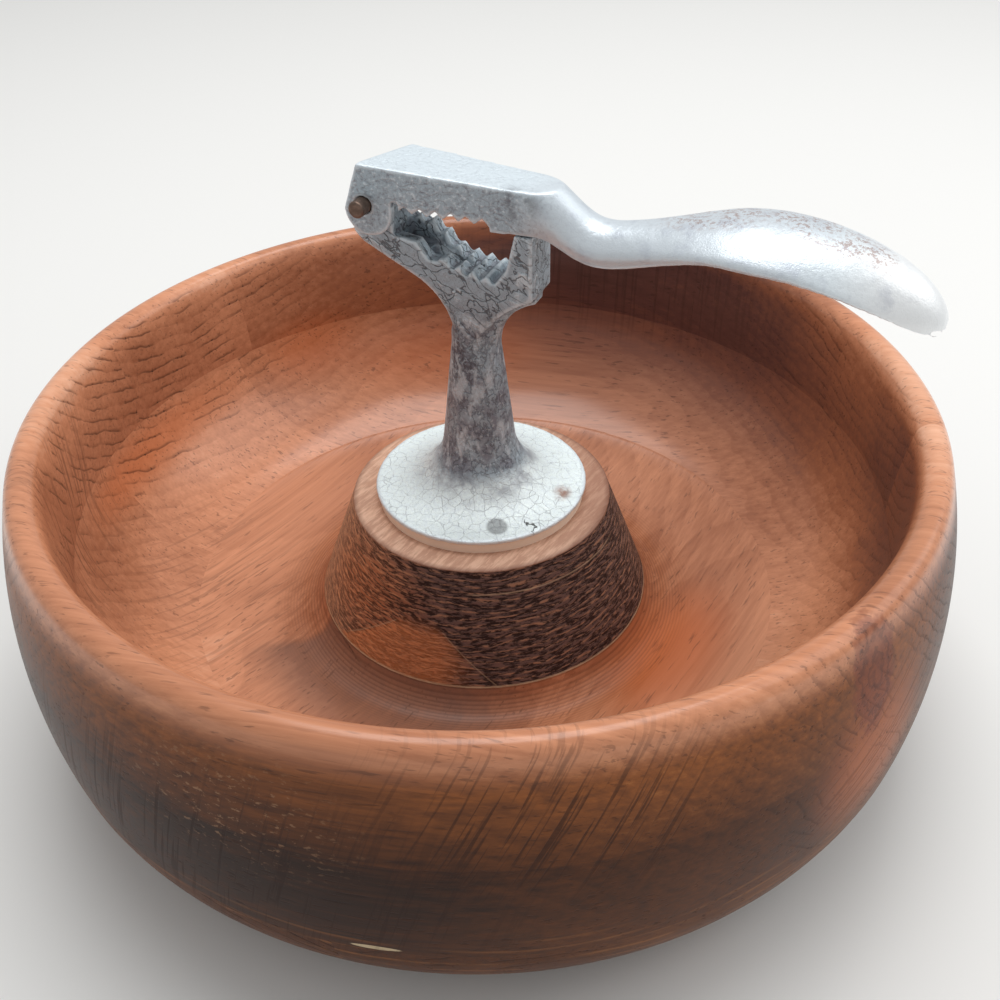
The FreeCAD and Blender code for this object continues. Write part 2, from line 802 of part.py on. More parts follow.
def press_lever():
    """The whole lever casting: the head and the handle in one."""
    head = lever_head()
    whole = doc.addObject("Part::Fuse", "head_and_handle")
    whole.Base = head
    whole.Tool = handle()
    whole.Refine = True
    lever = doc.addObject("Part::Cut", "press_lever")
    lever.Label = "press_lever"
    lever.Base = whole
    lever.Tool = bevel_tool()
    return lever


def pivot_pin():
    """The plain steel pin, tight in the knuckle and free in the cheeks."""
    shaft = doc.addObject("Part::Cylinder", "pin_shaft")
    bind(shaft, "Radius", "pin_radius")
    bind(shaft, "Height", "pin_front_reach + pin_back_reach")
    shaft.Placement = Placement(Vector(), Rotation(Vector(1, 0, 0), 90))
    bind(shaft, "Placement.Base.x", "-pivot_offset")
    bind(shaft, "Placement.Base.y", "pin_back_reach")
    bind(shaft, "Placement.Base.z", PIVOT_Z)
    doc.recompute()
    pin = doc.addObject("Part::Fillet", "pivot_pin")
    pin.Label = "pivot_pin"
    pin.Base = shaft
    rounding = size("pin_end_rounding")
    circles = [number for number, edge in enumerate(shaft.Shape.Edges, start=1)
               if edge.Curve.TypeId == "Part::GeomCircle"]
    pin.Edges = [(number, rounding, rounding) for number in circles]
    return pin


def mounting_bolt():
    """The hexagon bolt that comes up from beneath into the post."""
    seat = "(counterbore_depth - washer_thickness)"
    head = doc.addObject("Part::Prism", "bolt_head")
    head.Polygon = 6
    bind(head, "Circumradius", "bolt_head_corner_radius")
    bind(head, "Height", "bolt_head_height")
    bind(head, "Placement.Base.z", seat + " - bolt_head_height")
    shank = doc.addObject("Part::Cylinder", "bolt_shank")
    bind(shank, "Radius", "bolt_radius")
    bind(shank, "Height", above_flange("bolt_grip_in_stand") + " - " + seat)
    bind(shank, "Placement.Base.z", seat)
    bolt = doc.addObject("Part::Fuse", "mounting_bolt")
    bolt.Label = "mounting_bolt"
    bolt.Base = head
    bolt.Tool = shank
    return bolt


def mounting_washer():
    """The flat washer between the bolt's head and the base."""
    body = new_body("mounting_washer")
    under = "counterbore_depth - washer_thickness"
    hole = "bolt_radius + bolt_clearance"
    turn(body, "washer", [
        (hole, under),
        ("washer_radius", under),
        ("washer_radius", "counterbore_depth"),
        (hole, "counterbore_depth"),
    ])
    return body


def check_and_write(pieces):
    """Stops on any failed feature or bad shape, and writes one file for each piece."""
    doc.recompute()
    for feature in doc.Objects:
        if "Invalid" in feature.State or "Error" in feature.State:
            raise RuntimeError(feature.Label + " failed")
    for piece in pieces:
        shape = piece.Shape
        if shape.isNull() or not shape.isValid() or not shape.Solids:
            raise RuntimeError(piece.Label + " has no valid shape")
    os.makedirs("parts", exist_ok=True)
    for piece in pieces:
        piece.Shape.exportStep("parts/%s.step" % piece.Label)
        print("%-24s %2d solid  %10.1f mm3" % (piece.Label, len(piece.Shape.Solids), piece.Shape.Volume))


fill_sheet()
all_pieces = wooden_pieces()
all_pieces += [
    spacer_disc(),
    press_stand(),
    press_lever(),
    pivot_pin(),
    mounting_bolt(),
    mounting_washer(),
]
check_and_write(all_pieces)
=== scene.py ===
import math

import bmesh
import bpy
import numpy as np
from mathutils import Matrix, Vector


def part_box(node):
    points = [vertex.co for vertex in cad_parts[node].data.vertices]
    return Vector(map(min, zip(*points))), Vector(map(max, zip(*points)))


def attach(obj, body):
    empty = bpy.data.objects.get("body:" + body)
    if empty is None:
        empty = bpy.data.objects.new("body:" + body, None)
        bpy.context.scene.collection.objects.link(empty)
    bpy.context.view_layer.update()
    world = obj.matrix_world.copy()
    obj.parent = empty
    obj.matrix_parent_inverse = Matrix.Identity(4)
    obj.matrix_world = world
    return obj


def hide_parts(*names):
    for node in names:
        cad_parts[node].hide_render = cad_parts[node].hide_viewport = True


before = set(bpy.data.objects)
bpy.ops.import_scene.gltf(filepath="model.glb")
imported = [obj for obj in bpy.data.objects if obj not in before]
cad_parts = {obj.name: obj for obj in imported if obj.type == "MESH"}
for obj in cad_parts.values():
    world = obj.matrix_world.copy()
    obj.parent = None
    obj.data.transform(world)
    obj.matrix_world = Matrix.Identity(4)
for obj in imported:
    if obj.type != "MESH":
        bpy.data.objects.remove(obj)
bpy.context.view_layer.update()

bl_info = {
    "name": "Nut bowl with lever press",
    "version": (1, 0, 0),
    "blender": (4, 5, 0),
    "location": "3D View > Sidebar > Nut bowl",
    "description": "Turned wooden nut bowl with a cast lever press on its pedestal",
    "category": "Object",
}

SLIGHT = 1e-9
DEGREE = math.pi / 180
BASE_GRAIN = 81 * DEGREE


# Sizes and colours that a user would change

def length(name, text, value):
    """A length property in metres."""
    return bpy.props.FloatProperty(
        name=name, description=text, default=value, unit="LENGTH", precision=4)


def share(name, text, value, top=1.0):
    """A plain number property from 0 up."""
    return bpy.props.FloatProperty(name=name, description=text, default=value, min=0, max=top)


def colour(name, text, value):
    """A colour property, given as it shows on screen from 0 to 255."""
    return bpy.props.FloatVectorProperty(
        name=name, description=text, default=linear(*value)[:3], size=3,
        subtype="COLOR", min=0, max=1)


def linear(red, green, blue):
    """A colour as it shows on screen, as the linear colour that the shaders take."""
    parts = []
    for part in (red, green, blue):
        part /= 255
        parts.append(part / 12.92 if part <= 0.04045 else ((part + 0.055) / 1.055) ** 2.4)
    return (*parts, 1.0)


def opaque(tint):
    """A colour property as a node's socket takes it."""
    return (*tint, 1.0)


class BowlSizes(bpy.types.PropertyGroup):
    """The turned shape of the bowl and its pedestal, and how the planks are joined."""

    foot_radius: length("Foot radius", "Outside of the foot on the table", 0.099)
    shoulder_radius: length("Shoulder radius", "Outside, low on the side", 0.1283)
    shoulder_height: length("Shoulder height", "Height of the shoulder", 0.028)
    low_curve: length("Low curve", "Radius of the curve from foot to shoulder", 0.038)
    side_curve: length("Side curve", "Radius of the bulging side", 0.135)
    rim_outer: length("Rim outer radius", "Outside of the rim", 0.1249)
    rim_inner: length("Rim inner radius", "Inside of the rim", 0.117)
    rim_height: length("Rim height", "Where the rim's rounding starts", 0.0922)
    rim_rounding: length("Rim rounding", "Radius of the rim's rounding", 0.0042)
    wall_inner: length("Inner wall radius", "Inside, where the rim planks start", 0.1136)
    wall_curve: length("Inner wall curve", "Radius of the inner wall", 0.150)
    cove: length("Cove radius", "Hollow curve from the wall to the floor", 0.042)
    floor_radius: length("Floor radius", "Where the floor starts", 0.080)
    floor_height: length("Floor height", "Height of the floor there", 0.0315)
    trough_radius: length("Trough radius", "Where the floor turns to the pedestal", 0.060)
    trough_height: length("Trough height", "Height of the floor there", 0.0276)
    trough_curve: length("Trough curve", "Radius of the curve up to the pedestal", 0.009)
    base_top: length("Base joint", "Height of the joint above the base planks", 0.033)
    wall_top: length("Wall joint", "Height of the joint above the wall planks", 0.065)
    pedestal_foot: length("Pedestal foot", "Radius of the pedestal's foot", 0.0484)
    pedestal_top: length("Pedestal top", "Radius of the pedestal's top", 0.0369)
    bolt_hole: length("Bolt hole", "Radius of the hole for the bolt", 0.0033)
    counterbore: length("Counterbore", "Radius of the recess under the bowl", 0.011)
    counterbore_depth: length("Counterbore depth", "Depth of that recess", 0.013)
    spacer_radius: length("Spacer radius", "Pale disc under the flange", 0.0292)
    spacer_top: length("Spacer top", "Height of the disc's top", 0.068)
    upper_grain: bpy.props.FloatProperty(
        name="Upper grain", description="Direction of the grain of rim and wall planks",
        default=12.4 * DEGREE, subtype="ANGLE")
    base_grain: bpy.props.FloatProperty(
        name="Base grain", description="Direction of the grain of the base planks",
        default=BASE_GRAIN, subtype="ANGLE")


class WoodColours(bpy.types.PropertyGroup):
    """The colours of the oiled wood, from its darkest lines to its lightest."""

    line: colour("Darkest lines", "Pores and late rings", (44, 26, 22))
    dark: colour("Dark wood", "Heartwood", (92, 59, 54))
    middle: colour("Middle wood", "Most of the bowl", (160, 100, 70))
    warm: colour("Warm wood", "Orange figure", (214, 147, 110))
    glow: colour("Glow", "Places with a strong orange cast", (206, 112, 62))
    light: colour("Light wood", "Palest flecks", (242, 188, 156))
    glue: colour("Glue line", "Thin pale joints round the pedestal", (206, 178, 146))
    disc: colour("Spacer disc", "Pale wood under the flange", (255, 238, 218))
    gloss: share("Roughness", "Roughness of the satin oil", 0.36)


class MetalColours(bpy.types.PropertyGroup):
    """The colours of the cast metal."""

    bright: colour("Bright metal", "Worn handle", (228, 238, 244))
    cast: colour("Cast skin", "Sides of the head and the jaw", (174, 190, 200))
    flange: colour("Flange skin", "Pale skin of the flange", (240, 250, 249))
    dark: colour("Dark metal", "Post and hollows", (126, 126, 136))
    rust: colour("Rust", "Worn brown patches", (150, 104, 84))
    pin: colour("Pin", "Brown steel of the pivot pin", (128, 108, 96))


# Shader maths

class Value:
    """A number from a node's socket. Sums and products of values add Math nodes."""

    def __init__(self, finish, socket):
        self.finish = finish
        self.socket = socket

    def math(self, operation, *others):
        return self.finish.number("ShaderNodeMath", {"operation": operation}, [self, *others])

    def __add__(self, other):
        return self.math("ADD", other)

    def __radd__(self, other):
        return self.math("ADD", other)

    def __sub__(self, other):
        return self.math("SUBTRACT", other)

    def __rsub__(self, other):
        return self.finish.number("ShaderNodeMath", {"operation": "SUBTRACT"}, [other, self])

    def __mul__(self, other):
        return self.math("MULTIPLY", other)

    def __rmul__(self, other):
        return self.math("MULTIPLY", other)

    def __truediv__(self, other):
        return self.math("DIVIDE", other)

    def __pow__(self, other):
        return self.math("POWER", other)

    def clamp(self):
        return self.finish.number(
            "ShaderNodeMath", {"operation": "ADD", "use_clamp": True}, [self, 0.0])

    def least(self, other):
        return self.math("MINIMUM", other)

    def most(self, other):
        return self.math("MAXIMUM", other)

    def sine(self):
        return self.math("SINE")

    def part(self):
        return self.math("FRACT")

    def size(self):
        return self.math("ABSOLUTE")

    def step(self, low, high):
        """Rises gently from 0 at low to 1 at high; falls if low is above high."""
        if low > high:
            return 1 - self.step(high, low)
        settings = {"interpolation_type": "SMOOTHSTEP"}
        return self.finish.number("ShaderNodeMapRange", settings, [self, low, high, 0.0, 1.0])


class Finish:
    """A material and the few ways in which its nodes are made."""

    def __init__(self, name):
        self.material = bpy.data.materials.new(name)
        self.material.use_nodes = True
        self.tree = self.material.node_tree
        self.shader = self.tree.nodes["Principled BSDF"]
        self.places = self.tree.nodes.new("ShaderNodeTexCoord")
        self.object = self.places.outputs["Object"]

    def node(self, kind, settings=None, values=()):
        """Adds a node, sets its settings, then fills its sockets by number or by name."""
        node = self.tree.nodes.new(kind)
        for name, setting in (settings or {}).items():
            if name == "stops":
                self.set_stops(node.color_ramp, setting)
            else:
                setattr(node, name, setting)
        pairs = values.items() if isinstance(values, dict) else enumerate(values)
        for key, value in pairs:
            self.fill(node.inputs[key], value)
        return node

    def set_stops(self, ramp, stops):
        while len(ramp.elements) < len(stops):
            ramp.elements.new(0.5)
        for element, (place, tint) in zip(ramp.elements, stops):
            element.position = place
            element.color = tint

    def fill(self, socket, value):
        if isinstance(value, Value):
            value = value.socket
        if isinstance(value, bpy.types.NodeSocket):
            self.tree.links.new(value, socket)
        elif value is not None:
            socket.default_value = value

    def number(self, kind, settings, values):
        """The first output of a new node, as a Value."""
        return Value(self, self.node(kind, settings, values).outputs[0])

    def placed(self, vector, turn=0.0, scale=(1, 1, 1), move=(0, 0, 0)):
        """A vector scaled, turned about Z and moved."""
        values = {"Vector": vector, "Rotation": (0, 0, turn), "Scale": scale, "Location": move}
        return self.node("ShaderNodeMapping", None, values).outputs[0]

    def framed(self, place, size=(1, 1, 1), turn=0.0, rise=0.0):
        """Object coordinates from a place, in a frame turned about Z and rising along X."""
        values = {"Vector": self.object, "Location": place,
                  "Rotation": (0, -rise, turn), "Scale": size}
        return self.node("ShaderNodeMapping", {"vector_type": "TEXTURE"}, values).outputs[0]

    def axes(self, vector):
        """The three numbers of a vector."""
        node = self.node("ShaderNodeSeparateXYZ", None, [vector])
        return [Value(self, output) for output in node.outputs]

    def together(self, x, y, z):
        return self.node("ShaderNodeCombineXYZ", None, [x, y, z]).outputs[0]

    def cloud(self, vector, scale, detail=3.0, rough=0.5, twist=0.0):
        """Soft noise from 0 to 1."""
        values = {"Vector": vector, "Scale": scale, "Detail": detail,
                  "Roughness": rough, "Distortion": twist}
        return Value(self, self.node("ShaderNodeTexNoise", None, values).outputs[0])

    def warped(self, vector, scale, amount):
        """A vector shaken by soft noise."""
        values = {"Vector": vector, "Scale": scale, "Detail": 3.0}
        noise = self.node("ShaderNodeTexNoise", None, values).outputs["Color"]
        centred = self.node("ShaderNodeVectorMath", {"operation": "SUBTRACT"},
                            [noise, (0.5, 0.5, 0.5)]).outputs[0]
        return self.node("ShaderNodeVectorMath", {"operation": "MULTIPLY_ADD"},
                         [centred, (amount, amount, amount), vector]).outputs[0]

    def veins(self, vector, scale, width):
        """Thin winding lines, where soft noise passes its middle value."""
        return (self.cloud(vector, scale, 3.0, 0.55) - 0.5).size().step(width, width * 0.2)

    def cells(self, vector, scale):
        """Distance to the nearest edge in a pattern of cells."""
        values = {"Vector": vector, "Scale": scale}
        node = self.node("ShaderNodeTexVoronoi", {"feature": "DISTANCE_TO_EDGE"}, values)
        return Value(self, node.outputs["Distance"])

    def ramp(self, value, stops):
        node = self.node("ShaderNodeValToRGB", {"stops": stops}, [value])
        return node.outputs[0]

    def mix(self, amount, first, second, way="MIX"):
        """Blends two colours; way is the blending mode."""
        node = self.node("ShaderNodeMix", {"data_type": "RGBA", "blend_type": way})
        self.fill(node.inputs[0], amount)
        self.fill(node.inputs[6], first)
        self.fill(node.inputs[7], second)
        return node.outputs[2]

    def near(self, place, reach, stretch=(1, 1, 1), turn=0.0):
        """1 at a place in the object and 0 from a reach away, gently."""
        framed = self.framed(place, [reach * s for s in stretch], turn)
        node = self.node("ShaderNodeVectorMath", {"operation": "LENGTH"}, [framed])
        return Value(self, node.outputs["Value"]).step(1.0, 0.15)

    def coats(self, base, *layers):
        """A colour with others laid over it in turn, each given as (how much, colour)."""
        for amount, tint in layers:
            base = self.mix(amount, base, tint)
        return base

    def finish(self, base, rough, height=None, depth=0.0001, metal=0.0, shine=0.5, coat=0.0):
        """Feeds the shader; height is the relief of the surface and depth its size."""
        self.fill(self.shader.inputs["Base Color"], base)
        self.fill(self.shader.inputs["Roughness"], rough)
        self.fill(self.shader.inputs["Metallic"], metal)
        self.fill(self.shader.inputs["Coat Weight"], coat)
        self.shader.inputs["Coat Roughness"].default_value = 0.22
        self.shader.inputs["Specular IOR Level"].default_value = shine
        if height is not None:
            values = {"Strength": 1.0, "Distance": depth, "Height": height}
            bump = self.node("ShaderNodeBump", None, values)
            self.fill(self.shader.inputs["Normal"], bump.outputs[0])
        return self.material


# Wood

RING_WIDTH = 0.0036
RING_WANDER = 0.007
TAPER = 0.04
# Places where the wood is darker or lighter than its plank: middle in metres, reach,
# stretch along the three axes, turn about Z and how much lighter. Some entries are painted
# light and shade, marked below.
TONES_AND_PAINTED_LIGHT = (
    ((0.010, 0.112, 0.080), 0.090, (1.3, 0.45, 0.42), 0.0, -0.34),
    ((0.070, 0.095, 0.062), 0.060, (1.2, 0.7, 0.5), -0.7, -0.16),
    ((0.114, 0.010, 0.072), 0.075, (0.5, 1.2, 0.5), 0.0, -0.30),
    ((0.092, 0.015, 0.036), 0.055, (0.7, 1.3, 0.4), 0.0, 0.14),
    ((-0.112, 0.020, 0.078), 0.060, (0.5, 1.3, 0.36), 0.0, 0.02),
    ((-0.080, -0.010, 0.040), 0.050, (1, 1.3, 0.8), 0.0, 0.06),
    ((-0.050, -0.065, 0.030), 0.045, (1, 1, 0.8), 0.0, 0.12),
    ((0.080, -0.050, 0.034), 0.060, (1, 1, 0.8), 0.0, 0.14),
    # Painted highlight: the rim made lighter on the right.
    ((0.112, 0.040, 0.095), 0.070, (0.7, 1.3, 0.12), 0.0, 0.26),
    ((0.118, -0.030, 0.060), 0.048, (0.6, 1, 0.9), 0.0, 0.26),
    # Painted highlight: the outside made lighter high up on the left.
    ((-0.118, -0.050, 0.090), 0.050, (0.7, 1, 0.35), 0.0, 0.18),
    # Darker wood and painted shade on the outside front, here and in the last entry.
    ((0.010, -0.126, 0.055), 0.085, (1.2, 0.5, 0.6), 0.0, -0.16),
    ((-0.105, -0.075, 0.045), 0.060, (1, 1, 0.5), 0.0, -0.10),
)
# Places with an orange glow: middle, reach, stretch, turn and strength.
GLOWS = (
    ((-0.102, -0.010, 0.058), 0.045, (0.4, 1.2, 0.26), 0.0, 0.75),
    ((-0.092, 0.055, 0.060), 0.050, (0.5, 0.9, 0.3), 0.6, 0.45),
    ((0.062, -0.006, 0.028), 0.027, (0.8, 1.5, 0.5), 0.0, 0.75),
    ((0.122, -0.046, 0.058), 0.030, (0.6, 1, 1), 0.0, 0.50),
    ((-0.060, 0.085, 0.050), 0.040, (1.2, 0.6, 0.4), 0.6, 0.35),
)
# Long dark streaks in the surface: their direction and rise, noise scale, how far they are
# drawn out along it, level across it and square to both, strength, and where.
ALONG_SIDE = (30, 8, 1)
ALONG_FLOOR = (30, 1, 8)
STREAKS = (
    (33 * DEGREE, 62 * DEGREE, 950, ALONG_SIDE, 0.62, ((0.070, -0.108, 0.076), 0.060, (1.1, 0.8, 0.50))),
    (4 * DEGREE, 74 * DEGREE, 800, ALONG_SIDE, 0.45, ((0.0, -0.128, 0.055), 0.090, (1.2, 0.5, 0.42))),
    (126 * DEGREE, 70 * DEGREE, 900, ALONG_SIDE, 0.50, ((-0.105, -0.075, 0.070), 0.065, (1, 1, 0.6))),
    (76 * DEGREE, 30 * DEGREE, 900, ALONG_SIDE, 0.40, ((0.118, -0.030, 0.055), 0.055, (0.6, 1, 0.7))),
    (81 * DEGREE, 0.0, 900, ALONG_FLOOR, 0.26, ((-0.070, -0.040, 0.032), 0.062, (1, 1, 0.4))),
    (95 * DEGREE, 80 * DEGREE, 700, ALONG_FLOOR, 0.30, ((0.0, 0.116, 0.080), 0.090, (1.2, 0.4, 0.35))),
)


def wood(name, plank):
    """Oiled hardwood as a solid, in the frame of its plank.

    x runs along the fibres, and y and z across them from the pith. A ring's number is the
    distance from the pith, warped by soft noise, over the ring's width. Fibres and pores are
    noise drawn out along x, so they show as lines on a plank's sides and as dots on its
    ends, where the rings show as broken dark ticks.
    """
    colours = bpy.context.scene.wood_colours
    finish = Finish(name)
    grain = plank["grain"]
    across, up = plank["pith"]
    pith = (-across * math.sin(grain), across * math.cos(grain), up)
    fibres = finish.framed(pith, turn=grain)
    slow = finish.cloud(finish.placed(fibres, 0, (0.35, 1, 1)), 16, 2, 0.5)
    soft = finish.cloud(finish.placed(fibres, 0, (0.20, 1, 1)), 55, 3, 0.55)
    fibre = finish.cloud(finish.placed(fibres, 0, (0.025, 1, 1)), 620, 4, 0.62)
    pores = finish.cloud(finish.placed(fibres, 0, (0.09, 1, 1)), 1150, 2, 0.5)
    broken = finish.cloud(finish.placed(fibres, 0, (0.5, 1, 1)), 95, 2, 0.5)
    x, y, z = finish.axes(finish.placed(fibres, 0, (TAPER, 1, 1)))
    radius = (x * x + y * y + z * z) ** 0.5 + (soft - 0.5) * RING_WANDER
    ring = (radius / RING_WIDTH).part()
    late = ring.step(0.30, 0.93) * ring.step(1.0, 0.95)
    tick = ring.step(0.70, 0.93) * ring.step(1.0, 0.95) * broken.step(0.44, 0.58)
    along = (math.cos(grain), math.sin(grain), 0)
    facing = finish.node(
        "ShaderNodeVectorMath", {"operation": "DOT_PRODUCT"},
        [finish.places.outputs["Normal"], along])
    end = Value(finish, facing.outputs["Value"]).size().step(0.55, 0.95)
    pore = pores.step(0.60, 0.69) * broken.step(0.30, 0.55)
    place_x, place_y, place_z = finish.axes(finish.object)
    reach = (place_x * place_x + place_y * place_y) ** 0.5
    outside = reach.step(0.1205, 0.1235) * place_z.step(0.0925, 0.084)
    outside = outside.most(place_z.step(0.028, 0.024) * reach.step(0.09, 0.10))
    tone = plank["tone"] + (slow - 0.5) * 0.36 + (soft - 0.5) * 0.20
    tone = tone + (fibre - 0.5) * (0.26 + outside * 0.22)
    # Painted highlight: the rounded top of the rim is made lighter.
    painted_rim_highlight = reach.step(0.112, 0.117) * place_z.step(0.086, 0.092)
    tone = tone - late * 0.035 + painted_rim_highlight * 0.14
    tone = tone - outside * 0.10
    for place, far, stretch, turn, change in TONES_AND_PAINTED_LIGHT:
        tone = tone + finish.near(place, far, stretch, turn) * change
    dark = pore * 0.40 + tick * end * plank.get("ticks", 0.55)
    for turn, rise, size, drawn_out, strength, where in STREAKS:
        drawn = finish.framed((0, 0, 0), drawn_out, turn, rise)
        thin = finish.cloud(drawn, size, 2, 0.5).step(0.54, 0.64)
        dark = dark.most(thin * finish.near(*where) * strength)
    if "turning" in plank:
        tone, dark, board = trough_marks(finish, tone, dark, reach, place_x, place_y)
    tint = finish.ramp(tone.clamp(), [
        (0.0, opaque(colours.line)),
        (0.25, opaque(colours.dark)),
        (0.52, opaque(colours.middle)),
        (0.76, opaque(colours.warm)),
        (1.0, opaque(colours.light)),
    ])
    tint = finish.mix(outside, tint, linear(255, 244, 198), "MULTIPLY")
    # Darker wood and painted shade on the outside, deepening towards the bottom.
    darker_and_shaded_low = outside * (place_z.step(0.092, 0.060) * 0.78 + broken * 0.15)
    tint = finish.mix(darker_and_shaded_low, tint, linear(112, 100, 80), "MULTIPLY")
    cool = finish.near((0.025, 0.106, 0.062), 0.090, (1.4, 0.6, 0.5)) * 0.42
    tint = finish.mix(cool, tint, linear(98, 64, 62))
    if "turning" in plank:
        # The board's olive-brown: darker wood and painted shade in the trough.
        tint = finish.mix(board * 0.55, tint, linear(134, 100, 84))
    layers = (place_z / 0.0043 + (slow - 0.5) * 3).part().step(0.70, 0.90)
    layers = layers * outside * place_z.step(0.044, 0.034) * soft.step(0.42, 0.60)
    tint = finish.mix(layers * 0.55, tint, linear(150, 96, 52))
    for place, far, stretch, turn, strength in GLOWS:
        glow = finish.near(place, far, stretch, turn) * strength
        tint = finish.mix(glow, tint, opaque(colours.glow))
    for mark in plank.get("marks", ()):
        tint = mark(finish, tint)
    tint = finish.mix(dark.clamp(), tint, opaque(colours.line))
    rough = colours.gloss + (fibre - 0.5) * 0.12 + dark * 0.25
    height = (fibre - 0.5) * 0.30 - dark
    oil = (0.62 - outside * 0.57) * (1 - reach.step(0.068, 0.056) * 0.85)
    return finish.finish(tint, rough, height, 0.00007, shine=0.12, coat=oil)


def trough_marks(finish, tone, dark, reach, x, y):
    """Adds fine turned rings round the pedestal's foot, a little darkening near the foot, and the
    darker board in front of it, which is darker wood and painted shade in the trough.

    Gives the tone, the dark lines and where that board is.
    """
    angle = y.math("ARCTAN2", x)
    board = angle.step(-2.34, -2.26) * angle.step(-0.70, -1.30) * reach.step(0.080, 0.060)
    turned_rings = (reach / 0.0009).part().step(0.35, 0.8)
    foot = reach.step(0.066, 0.052)
    tone = tone - board * 0.15 - foot * 0.05
    return tone, dark.most(turned_rings * foot * 0.26), board


def knot(finish, tint):
    """A slim upright knot on the outside, with red rings round a dark heart."""
    place, reach, stretch = (0.1185, -0.0465, 0.083), 0.0125, (0.7, 0.7, 1.5)
    framed = finish.framed(place, [reach * part for part in stretch])
    length = finish.node("ShaderNodeVectorMath", {"operation": "LENGTH"}, [framed])
    wander = finish.cloud(finish.object, 260, 3, 0.6)
    far = Value(finish, length.outputs["Value"]) + (wander - 0.5) * 0.9
    rings = (far * 3).part().step(0.45, 0.85)
    inside = far.step(1.0, 0.75)
    tint = finish.mix(inside * 0.55, tint, linear(122, 56, 40))
    return finish.mix(inside * rings * 0.35, tint, linear(54, 26, 22))


def chip(finish, tint):
    """A pale chip low on the front."""
    wander = finish.cloud(finish.object, 420, 3, 0.6)
    near = finish.near((0.0335, -0.1245, 0.0342), 0.0085, (1, 0.6, 0.14), 0.26)
    return finish.mix((near + (wander - 0.5) * 0.3).step(0.25, 0.45), tint, linear(196, 174, 140))


def flecks(finish, tint):
    """Short pale flecks across the front."""
    near = finish.near((0.004, -0.128, 0.071), 0.040, (1, 0.6, 0.6))
    drawn = finish.framed((0, 0, 0), (2, 2, 1))
    short = finish.cloud(drawn, 950, 3, 0.6).step(0.58, 0.68)
    return finish.mix(short * near * 0.50, tint, linear(170, 130, 98))


def pedestal_wood(name):
    """Turned end grain: rows of dark pores and thin ochre lines, lighter on the left.

    The rows are circles round a middle high above, seen along the grain, and wander by soft
    noise. An orange wedge between two pale glue lines stands on the foot at the front. The flat
    top is pale and pink as a painted reflection, browner towards the back right and its edge.
    """
    finish = Finish(name)
    frame_of_grain = finish.framed((0, 0, 0), turn=BASE_GRAIN)
    depth, left, height = finish.axes(frame_of_grain)
    wander = finish.cloud(finish.placed(frame_of_grain, 0, (0.4, 0.5, 1.4)), 75, 3, 0.55)
    away = left + 0.02
    rise = 0.35 - height
    row_place = (away * away + rise * rise) ** 0.5 + (wander - 0.5) * 0.0052
    row = (row_place / 0.0017).part()
    drawn = finish.together(left * 0.20, depth * 0.20, row_place)
    grains = finish.cloud(drawn, 1650, 4, 0.7)
    pore = grains.step(0.43, 0.58)
    fine = finish.cloud(drawn, 2300, 2, 0.6)
    pale = row.step(0.10, 0.30) * row.step(0.62, 0.42) * grains.step(0.62, 0.42)
    lighter = left.step(-0.012, 0.034)
    orange = finish.near((-0.020, -0.040, 0.052), 0.030, (1, 1, 0.7))
    base = finish.mix(lighter, linear(112, 88, 82), linear(190, 144, 114))
    base = finish.coats(
        base,
        (orange * 0.75, linear(186, 112, 70)),
        (pale * (0.34 + lighter * 0.36), linear(220, 164, 122)),
        (pore * (0.92 - lighter * 0.34), linear(34, 22, 22)),
    )
    x, y, z = finish.axes(finish.object)
    angle = y.math("ARCTAN2", x) / DEGREE
    left_edge = (angle + 115.6) * 0.000564 + 0.0375
    right_edge = (angle + 77.9) * -0.000753 + 0.0469
    roof = left_edge.least(right_edge)
    ragged = z + (grains - 0.5) * 0.003
    wedge = (roof - ragged).step(-0.0012, 0.0012) * (0.0478 - z).step(-0.003, 0.003)
    in_front = finish.near((-0.012, -0.046, 0.039), 0.036, (1, 1, 0.8)).step(0.0, 0.6)
    wedge = wedge * (0.7 + grains * 0.4) * in_front
    orange_wood = finish.mix(pore * 0.40 + fine.step(0.5, 0.65) * 0.25,
                             linear(226, 146, 94), linear(130, 78, 50))
    base = finish.mix(wedge * 0.75, base, orange_wood)
    glue = opaque(bpy.context.scene.wood_colours.glue)
    joint = (roof - z).size().step(0.00035, 0.0001) * (0.0475 - z).step(-0.0004, 0.0002)
    ends = angle.step(-121, -118) * angle.step(-56, -60)
    joint = joint * ends * 0.30
    foot = z.step(0.0337, 0.0332) * 0.75
    turned_line = (z - 0.0586).size().step(0.0003, 0.0001)
    turned_line = turned_line * angle.step(-72, -66) * angle.step(6, -4) * 0.45
    base = finish.mix(joint.most(foot).most(turned_line).clamp(), base, glue)
    # Painted reflection: the flat top is pale and pink; browner towards the back right and its outer
    # edge.
    top = z.step(0.0644, 0.0648)
    streaky = finish.cloud(finish.placed(frame_of_grain, 0, (0.15, 1, 1)), 900, 4, 0.65)
    top_face_with_reflection = finish.mix(streaky.step(0.40, 0.62), linear(196, 152, 128), linear(226, 184, 158))
    browner = (x * 0.8 + y * 0.5).step(0.012, 0.036)
    top_face_with_reflection = finish.mix(browner * 0.6, top_face_with_reflection, linear(140, 94, 74))
    top_radius = (x * x + y * y) ** 0.5
    top_face_with_reflection = finish.mix(top_radius.step(0.0350, 0.0368) * 0.55, top_face_with_reflection, linear(108, 66, 50))
    base = finish.mix(top * 0.92, base, top_face_with_reflection)
    rough = 0.42 + (grains - 0.5) * 0.2
    relief = pore * (1 - top) * -1.0 + fine * 0.3
    return finish.finish(base, rough, relief, 0.00011, shine=0.2)


# Shapes

